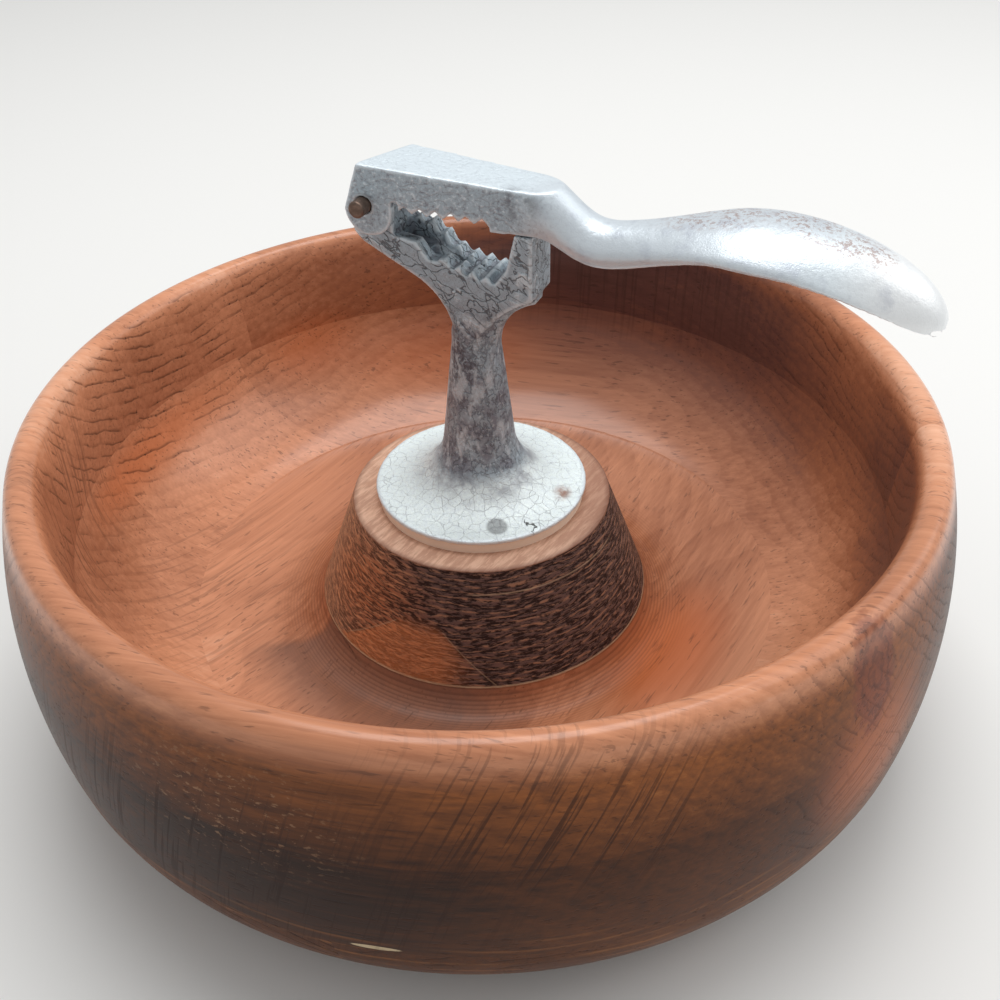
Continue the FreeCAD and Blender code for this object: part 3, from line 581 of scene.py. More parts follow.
def add_object(name, points, faces, smooth_angle=35.0):
    """A mesh object at the origin from points and faces, smooth except at sharp edges."""
    mesh = bpy.data.meshes.new(name)
    mesh.from_pydata([tuple(p) for p in points], [], faces)
    mesh.validate()
    return show(name, mesh, smooth_angle)


def show(name, mesh, smooth_angle=35.0):
    mesh.shade_smooth()
    mesh.set_sharp_from_angle(angle=math.radians(smooth_angle))
    piece = bpy.data.objects.new(name, mesh)
    bpy.context.scene.collection.objects.link(piece)
    return piece


def arc(start, end, radius, side, count):
    """Points from start up to but not at end, on an arc that bulges to a side."""
    start, end = np.array(start, float), np.array(end, float)
    chord = end - start
    left = np.array([-chord[1], chord[0]]) / np.hypot(*chord)
    toward = left if side == "left" else -left
    half = np.hypot(*chord) / 2
    centre = (start + end) / 2 - toward * math.sqrt(max(radius ** 2 - half ** 2, 0))
    first = math.atan2(*(start - centre)[::-1])
    turn = math.atan2(*(end - centre)[::-1]) - first
    turn = (turn + math.pi) % (2 * math.pi) - math.pi
    angles = first + turn * np.linspace(0, 1, count, endpoint=False)
    return np.c_[centre[0] + radius * np.cos(angles), centre[1] + radius * np.sin(angles)]


def line(start, end, count=1):
    """Points from start up to but not at end, on a straight line."""
    steps = np.linspace(0, 1, count, endpoint=False)[:, None]
    return np.array(start) + (np.array(end) - np.array(start)) * steps


def turned(profile, sides=360):
    """A closed profile of (radius, height) points turned about Z, as points and faces.

    The point for side s and profile point k is (r cos a, r sin a, z) with a = 2 pi s / sides.
    """
    angles = np.linspace(0, 2 * math.pi, sides, endpoint=False)
    radius, height = profile[:, 0], profile[:, 1]
    points = np.stack([
        np.outer(np.cos(angles), radius),
        np.outer(np.sin(angles), radius),
        np.outer(np.ones(sides), height),
    ], axis=-1).reshape(-1, 3)
    count = len(profile)
    side, place = np.meshgrid(np.arange(sides), np.arange(count), indexing="ij")
    following = (side + 1) % sides
    after = (place + 1) % count
    faces = np.stack([
        side * count + place,
        following * count + place,
        following * count + after,
        side * count + after,
    ], axis=-1).reshape(-1, 4)
    return points, faces


def bowl_layer(sizes, low, high):
    """The closed profile of the bowl between two heights, from the outside inwards."""
    outer = [
        line((sizes.counterbore, 0), (sizes.foot_radius, 0), 3),
        arc((sizes.foot_radius, 0), (sizes.shoulder_radius, sizes.shoulder_height),
            sizes.low_curve, "right", 14),
        arc((sizes.shoulder_radius, sizes.shoulder_height),
            (sizes.rim_outer, sizes.rim_height), sizes.side_curve, "right", 40),
        arc((sizes.rim_outer, sizes.rim_height), (sizes.rim_inner, sizes.rim_height),
            sizes.rim_rounding, "right", 18),
    ]
    inner = [
        arc((sizes.rim_inner, sizes.rim_height), (sizes.wall_inner, sizes.wall_top),
            sizes.wall_curve, "right", 14),
        arc((sizes.wall_inner, sizes.wall_top), (sizes.floor_radius, sizes.floor_height),
            sizes.cove, "left", 30),
        line((sizes.floor_radius, sizes.floor_height),
             (sizes.trough_radius, sizes.trough_height), 8),
        arc((sizes.trough_radius, sizes.trough_height), (sizes.pedestal_foot, sizes.base_top),
            sizes.trough_curve, "left", 10),
        line((sizes.pedestal_foot, sizes.base_top), (sizes.bolt_hole, sizes.base_top)),
        line((sizes.bolt_hole, sizes.base_top), (sizes.bolt_hole, sizes.counterbore_depth)),
        line((sizes.bolt_hole, sizes.counterbore_depth),
             (sizes.counterbore, sizes.counterbore_depth)),
        line((sizes.counterbore, sizes.counterbore_depth), (sizes.counterbore, 0)),
    ]
    points = np.concatenate(outer + inner)
    return clipped(clipped(points, low, 1), high, -1)


def clipped(points, height, side):
    """The part of a closed profile on one side of a height: 1 above it, -1 below it."""
    result = []
    for index in range(len(points)):
        first, second = points[index - 1], points[index]
        third = points[(index + 1) % len(points)]
        before, now, after = [(point[1] - height) * side for point in (first, second, third)]
        if (before < -SLIGHT and now > SLIGHT) or (before > SLIGHT and now < -SLIGHT):
            share_of_way = before / (before - now)
            result.append(first + (second - first) * share_of_way)
        if now > SLIGHT or (now >= -SLIGHT and max(before, after) > SLIGHT):
            result.append(second)
    kept = [p for i, p in enumerate(result) if np.hypot(*(p - result[i - 1])) > 1e-7]
    return np.array(kept)


def plank(name, points, faces, grain, cuts, keep=None):
    """A turned ring cut to one plank: cuts are (distance across the grain, side kept).

    keep is -1 or 1 to keep only the part before or behind the middle along the grain.
    """
    mesh = bpy.data.meshes.new(name)
    mesh.from_pydata([tuple(p) for p in points], [], [tuple(int(i) for i in f) for f in faces])
    bm = bmesh.new()
    bm.from_mesh(mesh)
    across = Vector((-math.sin(grain), math.cos(grain), 0))
    along = Vector((math.cos(grain), math.sin(grain), 0))
    planes = [(across * distance, across * side) for distance, side in cuts]
    if keep is not None:
        planes.append((Vector(), along * keep))
    for place, outward in planes:
        parts = bm.verts[:] + bm.edges[:] + bm.faces[:]
        bmesh.ops.bisect_plane(
            bm, geom=parts, plane_co=place, plane_no=outward, clear_inner=True)
        rim = [edge for edge in bm.edges if edge.is_boundary]
        bmesh.ops.holes_fill(bm, edges=rim, sides=0)
    bmesh.ops.recalc_face_normals(bm, faces=bm.faces[:])
    bm.to_mesh(mesh)
    bm.free()
    return show(name, mesh)


def steady_noise(points, size, seed):
    """Soft noise from -1 to 1: random numbers on a cubic lattice, blended smoothly."""
    place = points / size + seed * 17.31
    base = np.floor(place).astype(np.int64)
    part = place - base
    part = part * part * (3 - 2 * part)
    total = np.zeros(len(points))
    for corner in np.ndindex(2, 2, 2):
        lattice = base + np.array(corner)
        code = (lattice[:, 0] * 73856093) ^ (lattice[:, 1] * 19349663) ^ (lattice[:, 2] * 83492791)
        code = (code * 2654435761 + seed * 97) & 0xFFFFFFFF
        code = ((code ^ (code >> 15)) * 2246822519) & 0xFFFFFFFF
        value = ((code ^ (code >> 13)) & 0xFFFF) / 32767.5 - 1
        weight = np.prod(np.where(np.array(corner) == 1, part, 1 - part), axis=1)
        total += value * weight
    return total


def neighbour_mean(points, edges, counts):
    """The mean of each point's neighbours."""
    total = np.zeros_like(points)
    for column in range(points.shape[1]):
        total[:, column] = np.bincount(
            edges[:, 0], points[edges[:, 1], column], len(points))
        total[:, column] += np.bincount(
            edges[:, 1], points[edges[:, 0], column], len(points))
    return total / counts[:, None]


def drop_crumbs(mesh):
    """Deletes what isn't joined to the mesh's first point along X, such as crumbs."""
    bm = bmesh.new()
    bm.from_mesh(mesh)
    waiting = [min(bm.verts, key=lambda point: point.co.x)]
    kept = set(waiting)
    while waiting:
        point = waiting.pop()
        for edge in point.link_edges:
            other = edge.other_vert(point)
            if other not in kept:
                kept.add(other)
                waiting.append(other)
    crumbs = [point for point in bm.verts if point not in kept]
    bmesh.ops.delete(bm, geom=crumbs, context="VERTS")
    bm.to_mesh(mesh)
    bm.free()


def casting(name, node, voxel, rounds, lumps, lowest=None):
    """A casting: the solid's surface rebuilt evenly, its edges softened, its skin uneven.

    Each round moves points half way to the mean of their neighbours; rounds gives each
    point its number of rounds. Then points move along their normals by soft noise; lumps
    are (size, height, seed). How far a point stands above its neighbours is kept as the
    attribute "edge": the materials make standing edges lighter, for wear, and sunken places
    darker. Where lowest is given, it lifts points to the height that it gives them, which
    blunts a thin edge.
    """
    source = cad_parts[node]
    mesh = source.data.copy()
    bm = bmesh.new()
    bm.from_mesh(mesh)
    bmesh.ops.remove_doubles(bm, verts=bm.verts[:], dist=1e-6)
    bm.to_mesh(mesh)
    bm.free()
    mesh.materials.clear()
    rough = bpy.data.objects.new(name + "_rough", mesh)
    bpy.context.scene.collection.objects.link(rough)
    remesh = rough.modifiers.new("even", "REMESH")
    remesh.mode = "VOXEL"
    remesh.voxel_size = voxel
    remesh.adaptivity = 0
    bpy.context.view_layer.update()
    evaluated = rough.evaluated_get(bpy.context.evaluated_depsgraph_get())
    even = bpy.data.meshes.new_from_object(evaluated)
    bpy.data.objects.remove(rough)
    drop_crumbs(even)
    count = len(even.vertices)
    points = np.zeros(count * 3, np.float32)
    even.vertices.foreach_get("co", points)
    points = points.reshape(-1, 3).astype(float)
    edges = np.zeros(len(even.edges) * 2, np.int32)
    even.edges.foreach_get("vertices", edges)
    edges = edges.reshape(-1, 2)
    counts = np.bincount(edges.ravel(), minlength=count).astype(float)
    if lowest:
        points[:, 2] = np.maximum(points[:, 2], lowest(points))
    wanted = rounds(points)[:, None]
    for number in range(int(wanted.max())):
        way = np.clip(wanted - number, 0, 1) * 0.5
        points += (neighbour_mean(points, edges, counts) - points) * way
    even.vertices.foreach_set("co", points.astype(np.float32).ravel())
    even.update()
    normals = np.zeros(count * 3, np.float32)
    even.vertices.foreach_get("normal", normals)
    normals = normals.reshape(-1, 3).astype(float)
    wide = points
    for _ in range(6):
        wide = neighbour_mean(wide, edges, counts)
    stand = ((points - wide) * normals).sum(axis=1)[:, None]
    for _ in range(2):
        stand = neighbour_mean(stand, edges, counts)
    for size, height, seed in lumps:
        points += normals * (steady_noise(points, size, seed) * height - height)[:, None]
    even.vertices.foreach_set("co", points.astype(np.float32).ravel())
    attribute = even.attributes.new("edge", "FLOAT", "POINT")
    attribute.data.foreach_set("value", (stand[:, 0] / voxel).astype(np.float32))
    even.update()
    return show(name, even, 180.0)


# Metal

def cast_stand(name):
    """Old grey casting: pale cracked flange, wrinkled dark post, jaw with scaly ridges."""
    colours = bpy.context.scene.metal_colours
    bright, skin, dark, pale = [
        opaque(tint) for tint in (colours.bright, colours.cast, colours.dark, colours.flange)]
    finish = Finish(name)
    place = finish.object
    shaken = finish.warped(place, 300, 0.0022)
    edge_node = finish.node("ShaderNodeAttribute", {"attribute_name": "edge"})
    edge = Value(finish, edge_node.outputs["Fac"])
    fine = finish.cloud(place, 950, 4, 0.65)
    speckle = finish.cloud(place, 2600, 2, 0.6)
    broad = finish.cloud(place, 150, 4, 0.6)
    x, y, z = finish.axes(place)
    low = z.step(0.079, 0.0745)
    post = z.step(0.074, 0.080) * z.step(0.130, 0.118)
    jaw = z.step(0.112, 0.124)
    wrinkles = finish.veins(finish.placed(shaken, 0, (1, 1, 0.6)), 520, 0.055)
    slanted = finish.framed((0, 0, 0), (1.9, 1, 1), 0.0, -0.6)
    slanted = finish.warped(slanted, 260, 0.0035)
    scales = finish.veins(slanted, 190, 0.018).most(finish.cells(slanted, 170).step(0.018, 0.0))
    ridges = finish.cloud(slanted, 260, 3, 0.6).step(0.54, 0.66)
    cracks = finish.cells(finish.warped(place, 500, 0.0012), 330).step(0.035, 0.0)
    base = finish.mix(fine.step(0.35, 0.60), finish.mix(0.25, skin, dark), skin)
    base = finish.mix(post * broad.step(0.60, 0.42) * 0.75, base, dark)
    # A darker patch high on the post, below the jaw.
    darker_post_patch = finish.near((-0.004, -0.010, 0.112), 0.014, (0.9, 1, 1))
    base = finish.mix(darker_post_patch * fine.step(0.62, 0.40) * 0.7, base, linear(78, 72, 80))
    base = finish.mix(post * wrinkles * 0.45, base, linear(66, 60, 66))
    # Bright nicks on the post, and painted glints among them.
    nicks_and_glints = finish.cloud(finish.placed(shaken, 0.5, (1, 1, 0.45)), 210, 4, 0.6).step(0.50, 0.62)
    base = finish.coats(
        base,
        (post * nicks_and_glints * 0.6, bright),
        (post * fine.step(0.56, 0.66) * 0.4, bright),
        (jaw * ridges * 0.65, bright),
        (jaw * scales * 0.70, linear(54, 52, 56)),
        (jaw * speckle.step(0.56, 0.66) * 0.4, linear(70, 68, 72)),
    )
    # Painted shade in the slot round the lever's knuckle, by the pivot.
    painted_slot_shade = finish.near((-0.0165, -0.002, 0.1425), 0.0065, (1, 0.75, 0.7))
    base = finish.mix(painted_slot_shade * broad.step(0.60, 0.45) * 0.85, base, linear(38, 36, 38))
    flange = finish.mix(fine.step(0.40, 0.62) * 0.5, pale, bright)
    flange = finish.mix(speckle.step(0.56, 0.66) * 0.22, flange, dark)
    flange = finish.mix(cracks * broad.step(0.42, 0.56) * 0.45, flange, dark)
    foot = z.step(0.0705, 0.0765)
    flange = finish.mix(foot * broad.step(0.62, 0.38) * 0.8, flange, dark)
    spot = finish.near((0.0144, -0.0198, 0.0695), 0.0040, (1, 1, 1))
    flange = finish.mix(spot.step(0.05, 0.45) * (0.45 + fine * 0.5), flange, linear(120, 122, 124))
    stain = finish.near((0.0246, 0.0013, 0.0697), 0.0042, (0.8, 1.1, 1)) * broad.step(0.35, 0.55)
    flange = finish.mix(stain * 0.9, flange, opaque(colours.rust))
    turn = y.math("ARCTAN2", x) / DEGREE
    reach = (x * x + y * y) ** 0.5
    wander = (finish.cloud(place, 420, 2, 0.5) - 0.5) * 16
    crack = (turn + 35 + wander).size().step(0.9, 0.3) * reach.step(0.0240, 0.0250)
    flange = finish.mix(crack.clamp() * 0.9, flange, linear(40, 38, 36))
    base = finish.coats(
        base,
        (low, flange),
        # Darker where points lie below their neighbours, lighter on standing edges, for wear.
        (edge.step(-0.02, -0.25) * 0.55, dark),
        (edge.step(0.08, 0.35) * 0.65, bright),
    )
    relief = (fine - 0.5) * 0.9 + (speckle - 0.5) * 0.4
    relief = relief - wrinkles * post * 1.1 + (ridges * 1.2 - scales * 1.6) * jaw
    relief = relief - (crack + cracks * 0.4) * low
    rough = 0.46 + (fine - 0.5) * 0.3
    return finish.finish(base, rough, relief, 0.00016, 0.3)


def cast_lever(name):
    """Cast lever: pebbled grey sides, paler top that is partly painted light, worn bright handle
    with brown patches and a painted highlight at its tip.
    """
    colours = bpy.context.scene.metal_colours
    bright, skin, dark, rust = [
        opaque(tint) for tint in (colours.bright, colours.cast, colours.dark, colours.rust)]
    finish = Finish(name)
    place = finish.object
    edge_node = finish.node("ShaderNodeAttribute", {"attribute_name": "edge"})
    edge = Value(finish, edge_node.outputs["Fac"])
    fine = finish.cloud(finish.warped(place, 500, 0.001), 1000, 3, 0.6)
    speckle = finish.cloud(place, 2600, 2, 0.6)
    broad = finish.cloud(place, 170, 4, 0.65)
    x, y, z = finish.axes(place)
    lit_and_polished_top = finish.axes(finish.places.outputs["Normal"])[2].step(0.60, 0.90)
    plain = (lit_and_polished_top + x.step(0.012, 0.028)).clamp()
    worn = x.step(0.012, 0.028)
    scratches = finish.veins(finish.placed(place, 0, (0.5, 1, 1)), 330, 0.03)
    # The upward faces are paler: smoother skin, and painted light from above.
    base = finish.mix(lit_and_polished_top * 0.75, skin, bright)
    base = finish.coats(
        base,
        (worn, bright),
        (fine.step(0.46, 0.34) * (0.60 - plain * 0.50), dark),
        (fine.step(0.53, 0.68) * (0.60 - plain * 0.35), bright),
        (speckle.step(0.58, 0.68) * (0.40 - plain * 0.30), dark),
        (scratches * (1 - worn) * (0.35 - plain * 0.28), dark),
        # Greyer along the handle, then a painted highlight that makes its tip near white.
        (worn * x.step(0.092, 0.080) * 0.5, linear(200, 208, 216)),
        (x.step(0.086, 0.106) * 0.9, linear(252, 254, 255)),
    )
    corner = finish.near((0.0150, -0.0070, 0.1570), 0.0075, (1.1, 1, 0.8))
    base = finish.mix(corner * broad.step(0.40, 0.60) * 0.7, base, linear(92, 92, 98))
    first = finish.near((0.0620, 0.0030, 0.1600), 0.026, (1.0, 0.46, 0.5))
    second = finish.near((0.0860, 0.0010, 0.1590), 0.026, (1.0, 0.40, 0.5), -0.25)
    patches = finish.cloud(place, 800, 5, 0.8).step(0.49, 0.57)
    patches = patches * (0.35 + finish.cloud(place, 130, 2, 0.5).step(0.40, 0.55) * 0.65)
    base = finish.mix(patches * first.most(second).step(0.0, 0.6) * 0.62, base, rust)
    cloudy = broad.step(0.50, 0.72) * worn
    base = finish.coats(
        base,
        (cloudy * 0.30, linear(160, 166, 184)),
        # Darker where points lie below their neighbours, lighter on standing edges, for wear.
        (edge.step(-0.02, -0.25) * 0.5, dark),
        (edge.step(0.06, 0.35) * 0.7, bright),
    )
    relief = (fine - 0.5) * (1.1 - worn * 0.75) + (speckle - 0.5) * 0.3 - scratches * (1 - worn) * 0.3
    relief = relief + (broad - 0.5) * worn * 1.2
    rough = 0.44 - worn * 0.08 + (fine - 0.5) * 0.20
    return finish.finish(base, rough, relief, 0.00014, 0.35)


def plain_steel(name, tint):
    """Steel with fine scratches and brown stains."""
    finish = Finish(name)
    stain = finish.cloud(finish.object, 700, 4, 0.65)
    grains = finish.cloud(finish.object, 3200, 2, 0.5)
    base = finish.mix(stain.step(0.42, 0.62) * 0.6, opaque(tint), linear(92, 78, 70))
    rough = 0.34 + stain * 0.25
    return finish.finish(base, rough, grains, 0.00003, 0.8)


# Operators

UPPER_ARCS = {
    "back": ([(0, 1)], None),
    "back_left": ([(1, 1), (0, -1)], -1),
    "back_right": ([(1, 1), (0, -1)], 1),
    "front_left": ([(2, 1), (1, -1)], -1),
    "front_right": ([(2, 1), (1, -1)], 1),
    "front": ([(2, -1)], None),
}


def ring_of_planks(prefix, low, high, joints, tones):
    """The six arcs of one upper layer; joints are their distances across the grain."""
    sizes = bpy.context.scene.bowl_sizes
    points, faces = turned(bowl_layer(sizes, low, high))
    grain = sizes.upper_grain
    for number, (arc_name, (cuts, keep)) in enumerate(UPPER_ARCS.items()):
        name = prefix + "_" + arc_name
        planes = [(joints[which], side) for which, side in cuts]
        piece = plank("turned_" + name, points, faces, grain, planes, keep)
        settings = {"grain": grain, "pith": (0.05 - 0.006 * number, 0.150 - 0.004 * number)}
        settings.update(tones[arc_name])
        piece.data.materials.append(wood(name + "_wood", settings))
        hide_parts(name)
        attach(piece, "bowl_and_stand")


class MakeRim(bpy.types.Operator):
    """Makes the six arcs of the rim layer"""

    bl_idname = "nutbowl.rim"
    bl_label = "Rim planks"

    def execute(self, context):
        sizes = context.scene.bowl_sizes
        tones = {
            "back": {"tone": 0.52},
            "back_left": {"tone": 0.58},
            "back_right": {"tone": 0.52, "ticks": 0.2},
            "front_left": {"tone": 0.60},
            "front_right": {"tone": 0.60, "ticks": 0.3, "marks": (knot,)},
            "front": {"tone": 0.60, "marks": (flecks, knot)},
        }
        joints = (0.0615, 0.012, -0.0775)
        ring_of_planks("rim_plank", sizes.wall_top, 1, joints, tones)
        return {"FINISHED"}


class MakeWall(bpy.types.Operator):
    """Makes the six arcs of the wall layer"""

    bl_idname = "nutbowl.wall"
    bl_label = "Wall planks"

    def execute(self, context):
        sizes = context.scene.bowl_sizes
        tones = {
            "back": {"tone": 0.60},
            "back_left": {"tone": 0.66},
            "back_right": {"tone": 0.58, "ticks": 0.2},
            "front_left": {"tone": 0.64, "ticks": 0.25},
            "front_right": {"tone": 0.60, "ticks": 0.25},
            "front": {"tone": 0.52, "marks": (flecks, chip)},
        }
        joints = (0.056, -0.008, -0.080)
        ring_of_planks(
            "wall_plank", sizes.base_top, sizes.wall_top, joints, tones)
        return {"FINISHED"}


class MakeBase(bpy.types.Operator):
    """Makes the three base planks"""

    bl_idname = "nutbowl.base"
    bl_label = "Base planks"

    def execute(self, context):
        sizes = context.scene.bowl_sizes
        points, faces = turned(bowl_layer(sizes, -1, sizes.base_top))
        grain = sizes.base_grain
        joint = 0.043
        planks = {
            "base_plank_left": ([(joint, 1)], (0.10, -0.08), 0.65),
            "base_plank_middle": ([(-joint, 1), (joint, -1)], (0.02, -0.09), 0.63),
            "base_plank_right": ([(-joint, -1)], (-0.09, -0.08), 0.62),
        }
        for name, (cuts, pith, tone) in planks.items():
            piece = plank("turned_" + name, points, faces, grain, cuts)
            settings = {"grain": grain, "pith": pith, "tone": tone, "turning": True,
                        "marks": (chip,)}
            piece.data.materials.append(wood(name + "_wood", settings))
            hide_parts(name)
            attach(piece, "bowl_and_stand")
        return {"FINISHED"}


class MakePedestal(bpy.types.Operator):
    """Makes the pedestal's two halves and the pale disc on it"""

    bl_idname = "nutbowl.pedestal"
    bl_label = "Pedestal"

    def execute(self, context):
        sizes = context.scene.bowl_sizes
        edge = 0.0005
        profile = np.concatenate([
            line((sizes.bolt_hole, sizes.base_top), (sizes.pedestal_foot, sizes.base_top), 4),
            line((sizes.pedestal_foot, sizes.base_top),
                 (sizes.pedestal_top, sizes.wall_top - edge), 16),
            arc((sizes.pedestal_top, sizes.wall_top - edge),
                (sizes.pedestal_top - edge, sizes.wall_top), edge, "right", 4),
            line((sizes.pedestal_top - edge, sizes.wall_top),
                 (sizes.bolt_hole, sizes.wall_top), 4),
            line((sizes.bolt_hole, sizes.wall_top), (sizes.bolt_hole, sizes.base_top)),
        ])
        points, faces = turned(profile)
        grain = sizes.upper_grain
        for name, side in (("pedestal_plank_back", 1), ("pedestal_plank_front", -1)):
            piece = plank("turned_" + name, points, faces, grain, [(-0.008, side)])
            piece.data.materials.append(pedestal_wood(name + "_wood"))
            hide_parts(name)
            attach(piece, "bowl_and_stand")
        self.disc(sizes)
        return {"FINISHED"}

    def disc(self, sizes):
        """The disc: a flat ring with softened edges."""
        edge = 0.0003
        outside, top = sizes.spacer_radius, sizes.spacer_top
        profile = np.concatenate([
            line((sizes.bolt_hole, sizes.wall_top), (outside, sizes.wall_top), 2),
            line((outside, sizes.wall_top), (outside, top - edge), 2),
            arc((outside, top - edge), (outside - edge, top), edge, "right", 4),
            line((outside - edge, top), (sizes.bolt_hole, top), 2),
            line((sizes.bolt_hole, top), (sizes.bolt_hole, sizes.wall_top)),
        ])
        piece = add_object("turned_spacer_disc", *[part.tolist() for part in turned(profile)])
        finish = Finish("spacer_disc_wood")
        tint = opaque(bpy.context.scene.wood_colours.disc)
        lines = finish.cloud(finish.placed(finish.object, 0.4, (0.05, 1, 1)), 900, 4, 0.6)
        base = finish.mix((lines - 0.3) * 0.3, tint, linear(206, 172, 140))
        piece.data.materials.append(finish.finish(base, 0.55, lines, 0.00004))
        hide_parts("spacer_disc")
        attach(piece, "bowl_and_stand")


class MakeStand(bpy.types.Operator):
    """Makes the cast stand and gives the fasteners that hold it a steel finish"""

    bl_idname = "nutbowl.stand"
    bl_label = "Stand"

    def rounds(self, points):
        """Few at the jaw, more where the jaw meets the post, and some below."""
        height = points[:, 2]
        fork = np.exp(-((height - 0.1180) / 0.0065) ** 2)
        return 3 + 45 * fork + 4 * (height < 0.1)

    def execute(self, context):
        lumps = [(0.004, 0.00004, 3), (0.0015, 0.00003, 4)]
        piece = casting("cast_press_stand", "press_stand", 0.0004, self.rounds, lumps)
        piece.data.materials.append(cast_stand("stand_casting"))
        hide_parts("press_stand")
        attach(piece, "bowl_and_stand")
        steel = plain_steel("fastener_steel", linear(170, 170, 170)[:3])
        for node in ("mounting_bolt", "mounting_washer"):
            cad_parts[node].data.materials.clear()
            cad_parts[node].data.materials.append(steel)
        return {"FINISHED"}


class MakeLever(bpy.types.Operator):
    """Makes the lever with its toothed head and curved handle"""

    bl_idname = "nutbowl.lever"
    bl_label = "Lever"

    def rounds(self, points):
        """Few at the toothed head, many along the smooth handle and most at its end."""
        handle = np.clip((points[:, 0] - 0.010) / 0.012, 0, 1)
        tip = np.clip((points[:, 0] - 0.098) / 0.012, 0, 1)
        end = np.clip((points[:, 0] - 0.1085) / 0.003, 0, 1)
        return 4 + 14 * handle + 16 * tip + 60 * end

    def lowest(self, points):
        """Cuts the thin lower edge of the handle's tip to a straight one."""
        edge = 0.1434 - (0.1146 - points[:, 0]) * 0.35
        return np.where(points[:, 0] > 0.106, edge, 0)

    def execute(self, context):
        lumps = [(0.006, 0.00005, 7), (0.002, 0.00003, 8)]
        piece = casting("cast_press_lever", "press_lever", 0.00035, self.rounds, lumps, self.lowest)
        piece.data.materials.append(cast_lever("lever_casting"))
        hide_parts("press_lever")
        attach(piece, "lever")
        return {"FINISHED"}


class MakePin(bpy.types.Operator):
    """Makes the pivot pin with its rounded ends"""

    bl_idname = "nutbowl.pin"
    bl_label = "Pivot pin"

    def execute(self, context):
        low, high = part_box("pivot_pin")
        radius = (high.z - low.z) / 2
        centre = Vector(((low.x + high.x) / 2, 0, (low.z + high.z) / 2))
        edge = 0.0006
        profile = np.concatenate([
            line((1e-5, low.y), (radius - edge, low.y), 3),
            arc((radius - edge, low.y), (radius, low.y + edge), edge, "right", 6),
            line((radius, low.y + edge), (radius, high.y - edge), 6),
            arc((radius, high.y - edge), (radius - edge, high.y), edge, "right", 6),
            line((radius - edge, high.y), (1e-5, high.y), 3),
        ])
        points, faces = turned(profile, 64)
        points = np.c_[points[:, 0] + centre.x, points[:, 2], -points[:, 1] + centre.z]
        piece = add_object("round_pivot_pin", points.tolist(), faces.tolist())
        tint = bpy.context.scene.metal_colours.pin
        piece.data.materials.append(plain_steel("pin_steel", tint))
        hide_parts("pivot_pin")
        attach(piece, "bowl_and_stand")
        return {"FINISHED"}


# The camera, fitted to the photograph: its place and focal length, and how far it is turned
# from straight along Y: sideways, down, about its own axis and then about Z.
CAMERA_PLACE = (0.1262, -0.2477, 0.2720)
FOCAL_LENGTH = 43.2
CAMERA_HEADING = math.radians(1.09)
CAMERA_DOWN = math.radians(37.26)
CAMERA_ROLL = math.radians(-1.26)
CAMERA_AROUND = math.radians(27)


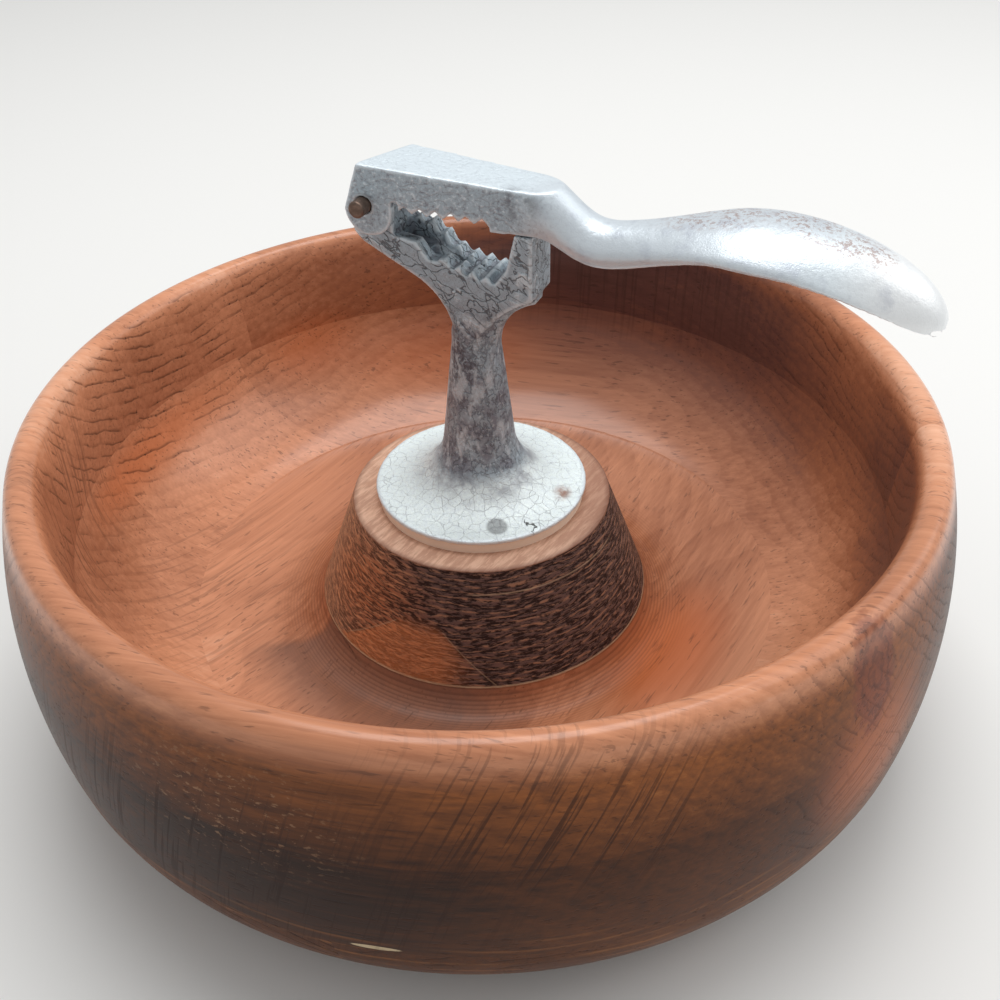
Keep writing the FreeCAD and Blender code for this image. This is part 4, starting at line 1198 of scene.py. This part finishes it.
class MakeStage(bpy.types.Operator):
    """Makes the floor, the soft lights and the camera"""

    bl_idname = "nutbowl.stage"
    bl_label = "Stage"

    def execute(self, context):
        scene = context.scene
        scene.view_settings.view_transform = "Standard"
        self.floor()
        self.light("top_light", (-0.10, 0.25, 1.25), (0, 0, 0.05), 0.75, 9)
        self.light("side_light", (0.8, 0.55, 0.9), (0, 0, 0.05), 0.9, 4)
        world = bpy.data.worlds.new("soft_studio")
        world.use_nodes = True
        back = world.node_tree.nodes["Background"]
        back.inputs["Color"].default_value = (1, 1, 1, 1)
        back.inputs["Strength"].default_value = 0.5
        scene.world = world
        self.camera(scene)
        return {"FINISHED"}

    def floor(self):
        """A wide flat floor."""
        reach = 6
        corners = [(-reach, -reach, 0), (reach, -reach, 0), (reach, reach, 0), (-reach, reach, 0)]
        piece = add_object("floor", corners, [(0, 1, 2, 3)])
        finish = Finish("pale_floor")
        piece.data.materials.append(finish.finish(linear(236, 236, 234), 0.9))

    def light(self, name, place, target, width, power):
        """A square lamp at a place, facing a target."""
        lamp = bpy.data.lights.new(name, "AREA")
        lamp.size = width
        lamp.energy = power
        holder = bpy.data.objects.new(name, lamp)
        holder.location = place
        way = Vector(target) - Vector(place)
        holder.rotation_euler = way.to_track_quat("-Z", "Y").to_euler()
        bpy.context.scene.collection.objects.link(holder)

    def camera(self, scene):
        """The camera at the photograph's viewing angle."""
        heading, down, roll = CAMERA_HEADING, CAMERA_DOWN, CAMERA_ROLL
        around = Matrix.Rotation(CAMERA_AROUND, 3, "Z")
        forward = Vector((math.sin(heading) * math.cos(down),
                          math.cos(heading) * math.cos(down), -math.sin(down)))
        right = Vector((math.cos(heading), -math.sin(heading), 0))
        up = right.cross(forward)
        side = around @ (right * math.cos(roll) + up * math.sin(roll))
        top = around @ (up * math.cos(roll) - right * math.sin(roll))
        behind = around @ -forward
        lens = bpy.data.cameras.new("camera")
        lens.lens = FOCAL_LENGTH
        lens.sensor_width = 36
        lens.clip_start = 0.01
        camera = bpy.data.objects.new("camera", lens)
        turn = Matrix((side, top, behind)).transposed().to_4x4()
        camera.matrix_world = Matrix.Translation(CAMERA_PLACE) @ turn
        scene.collection.objects.link(camera)
        scene.camera = camera


OPERATORS = (MakeRim, MakeWall, MakeBase, MakePedestal, MakeStand, MakeLever, MakePin, MakeStage)
GROUPS = {"bowl_sizes": BowlSizes, "wood_colours": WoodColours, "metal_colours": MetalColours}


class NutBowlPanel(bpy.types.Panel):
    """Lists the pieces in the 3D view's sidebar"""

    bl_idname = "VIEW3D_PT_nut_bowl"
    bl_label = "Nut bowl"
    bl_space_type = "VIEW_3D"
    bl_region_type = "UI"
    bl_category = "Nut bowl"

    def draw(self, context):
        for operator in OPERATORS:
            self.layout.operator(operator.bl_idname)
        for name, group in GROUPS.items():
            box = self.layout.box()
            for prop in group.__annotations__:
                box.prop(getattr(context.scene, name), prop)


def register():
    for kind in (*GROUPS.values(), *OPERATORS, NutBowlPanel):
        bpy.utils.register_class(kind)
    for name, group in GROUPS.items():
        setattr(bpy.types.Scene, name, bpy.props.PointerProperty(type=group))


def unregister():
    for name in GROUPS:
        delattr(bpy.types.Scene, name)
    for kind in reversed((*GROUPS.values(), *OPERATORS, NutBowlPanel)):
        bpy.utils.unregister_class(kind)


def main():
    """Makes every piece and the stage."""
    register()
    bpy.ops.nutbowl.rim()
    bpy.ops.nutbowl.wall()
    bpy.ops.nutbowl.base()
    bpy.ops.nutbowl.pedestal()
    bpy.ops.nutbowl.stand()
    bpy.ops.nutbowl.lever()
    bpy.ops.nutbowl.pin()
    bpy.ops.nutbowl.stage()
    bpy.context.view_layer.update()


if __name__ == "__main__":
    main()
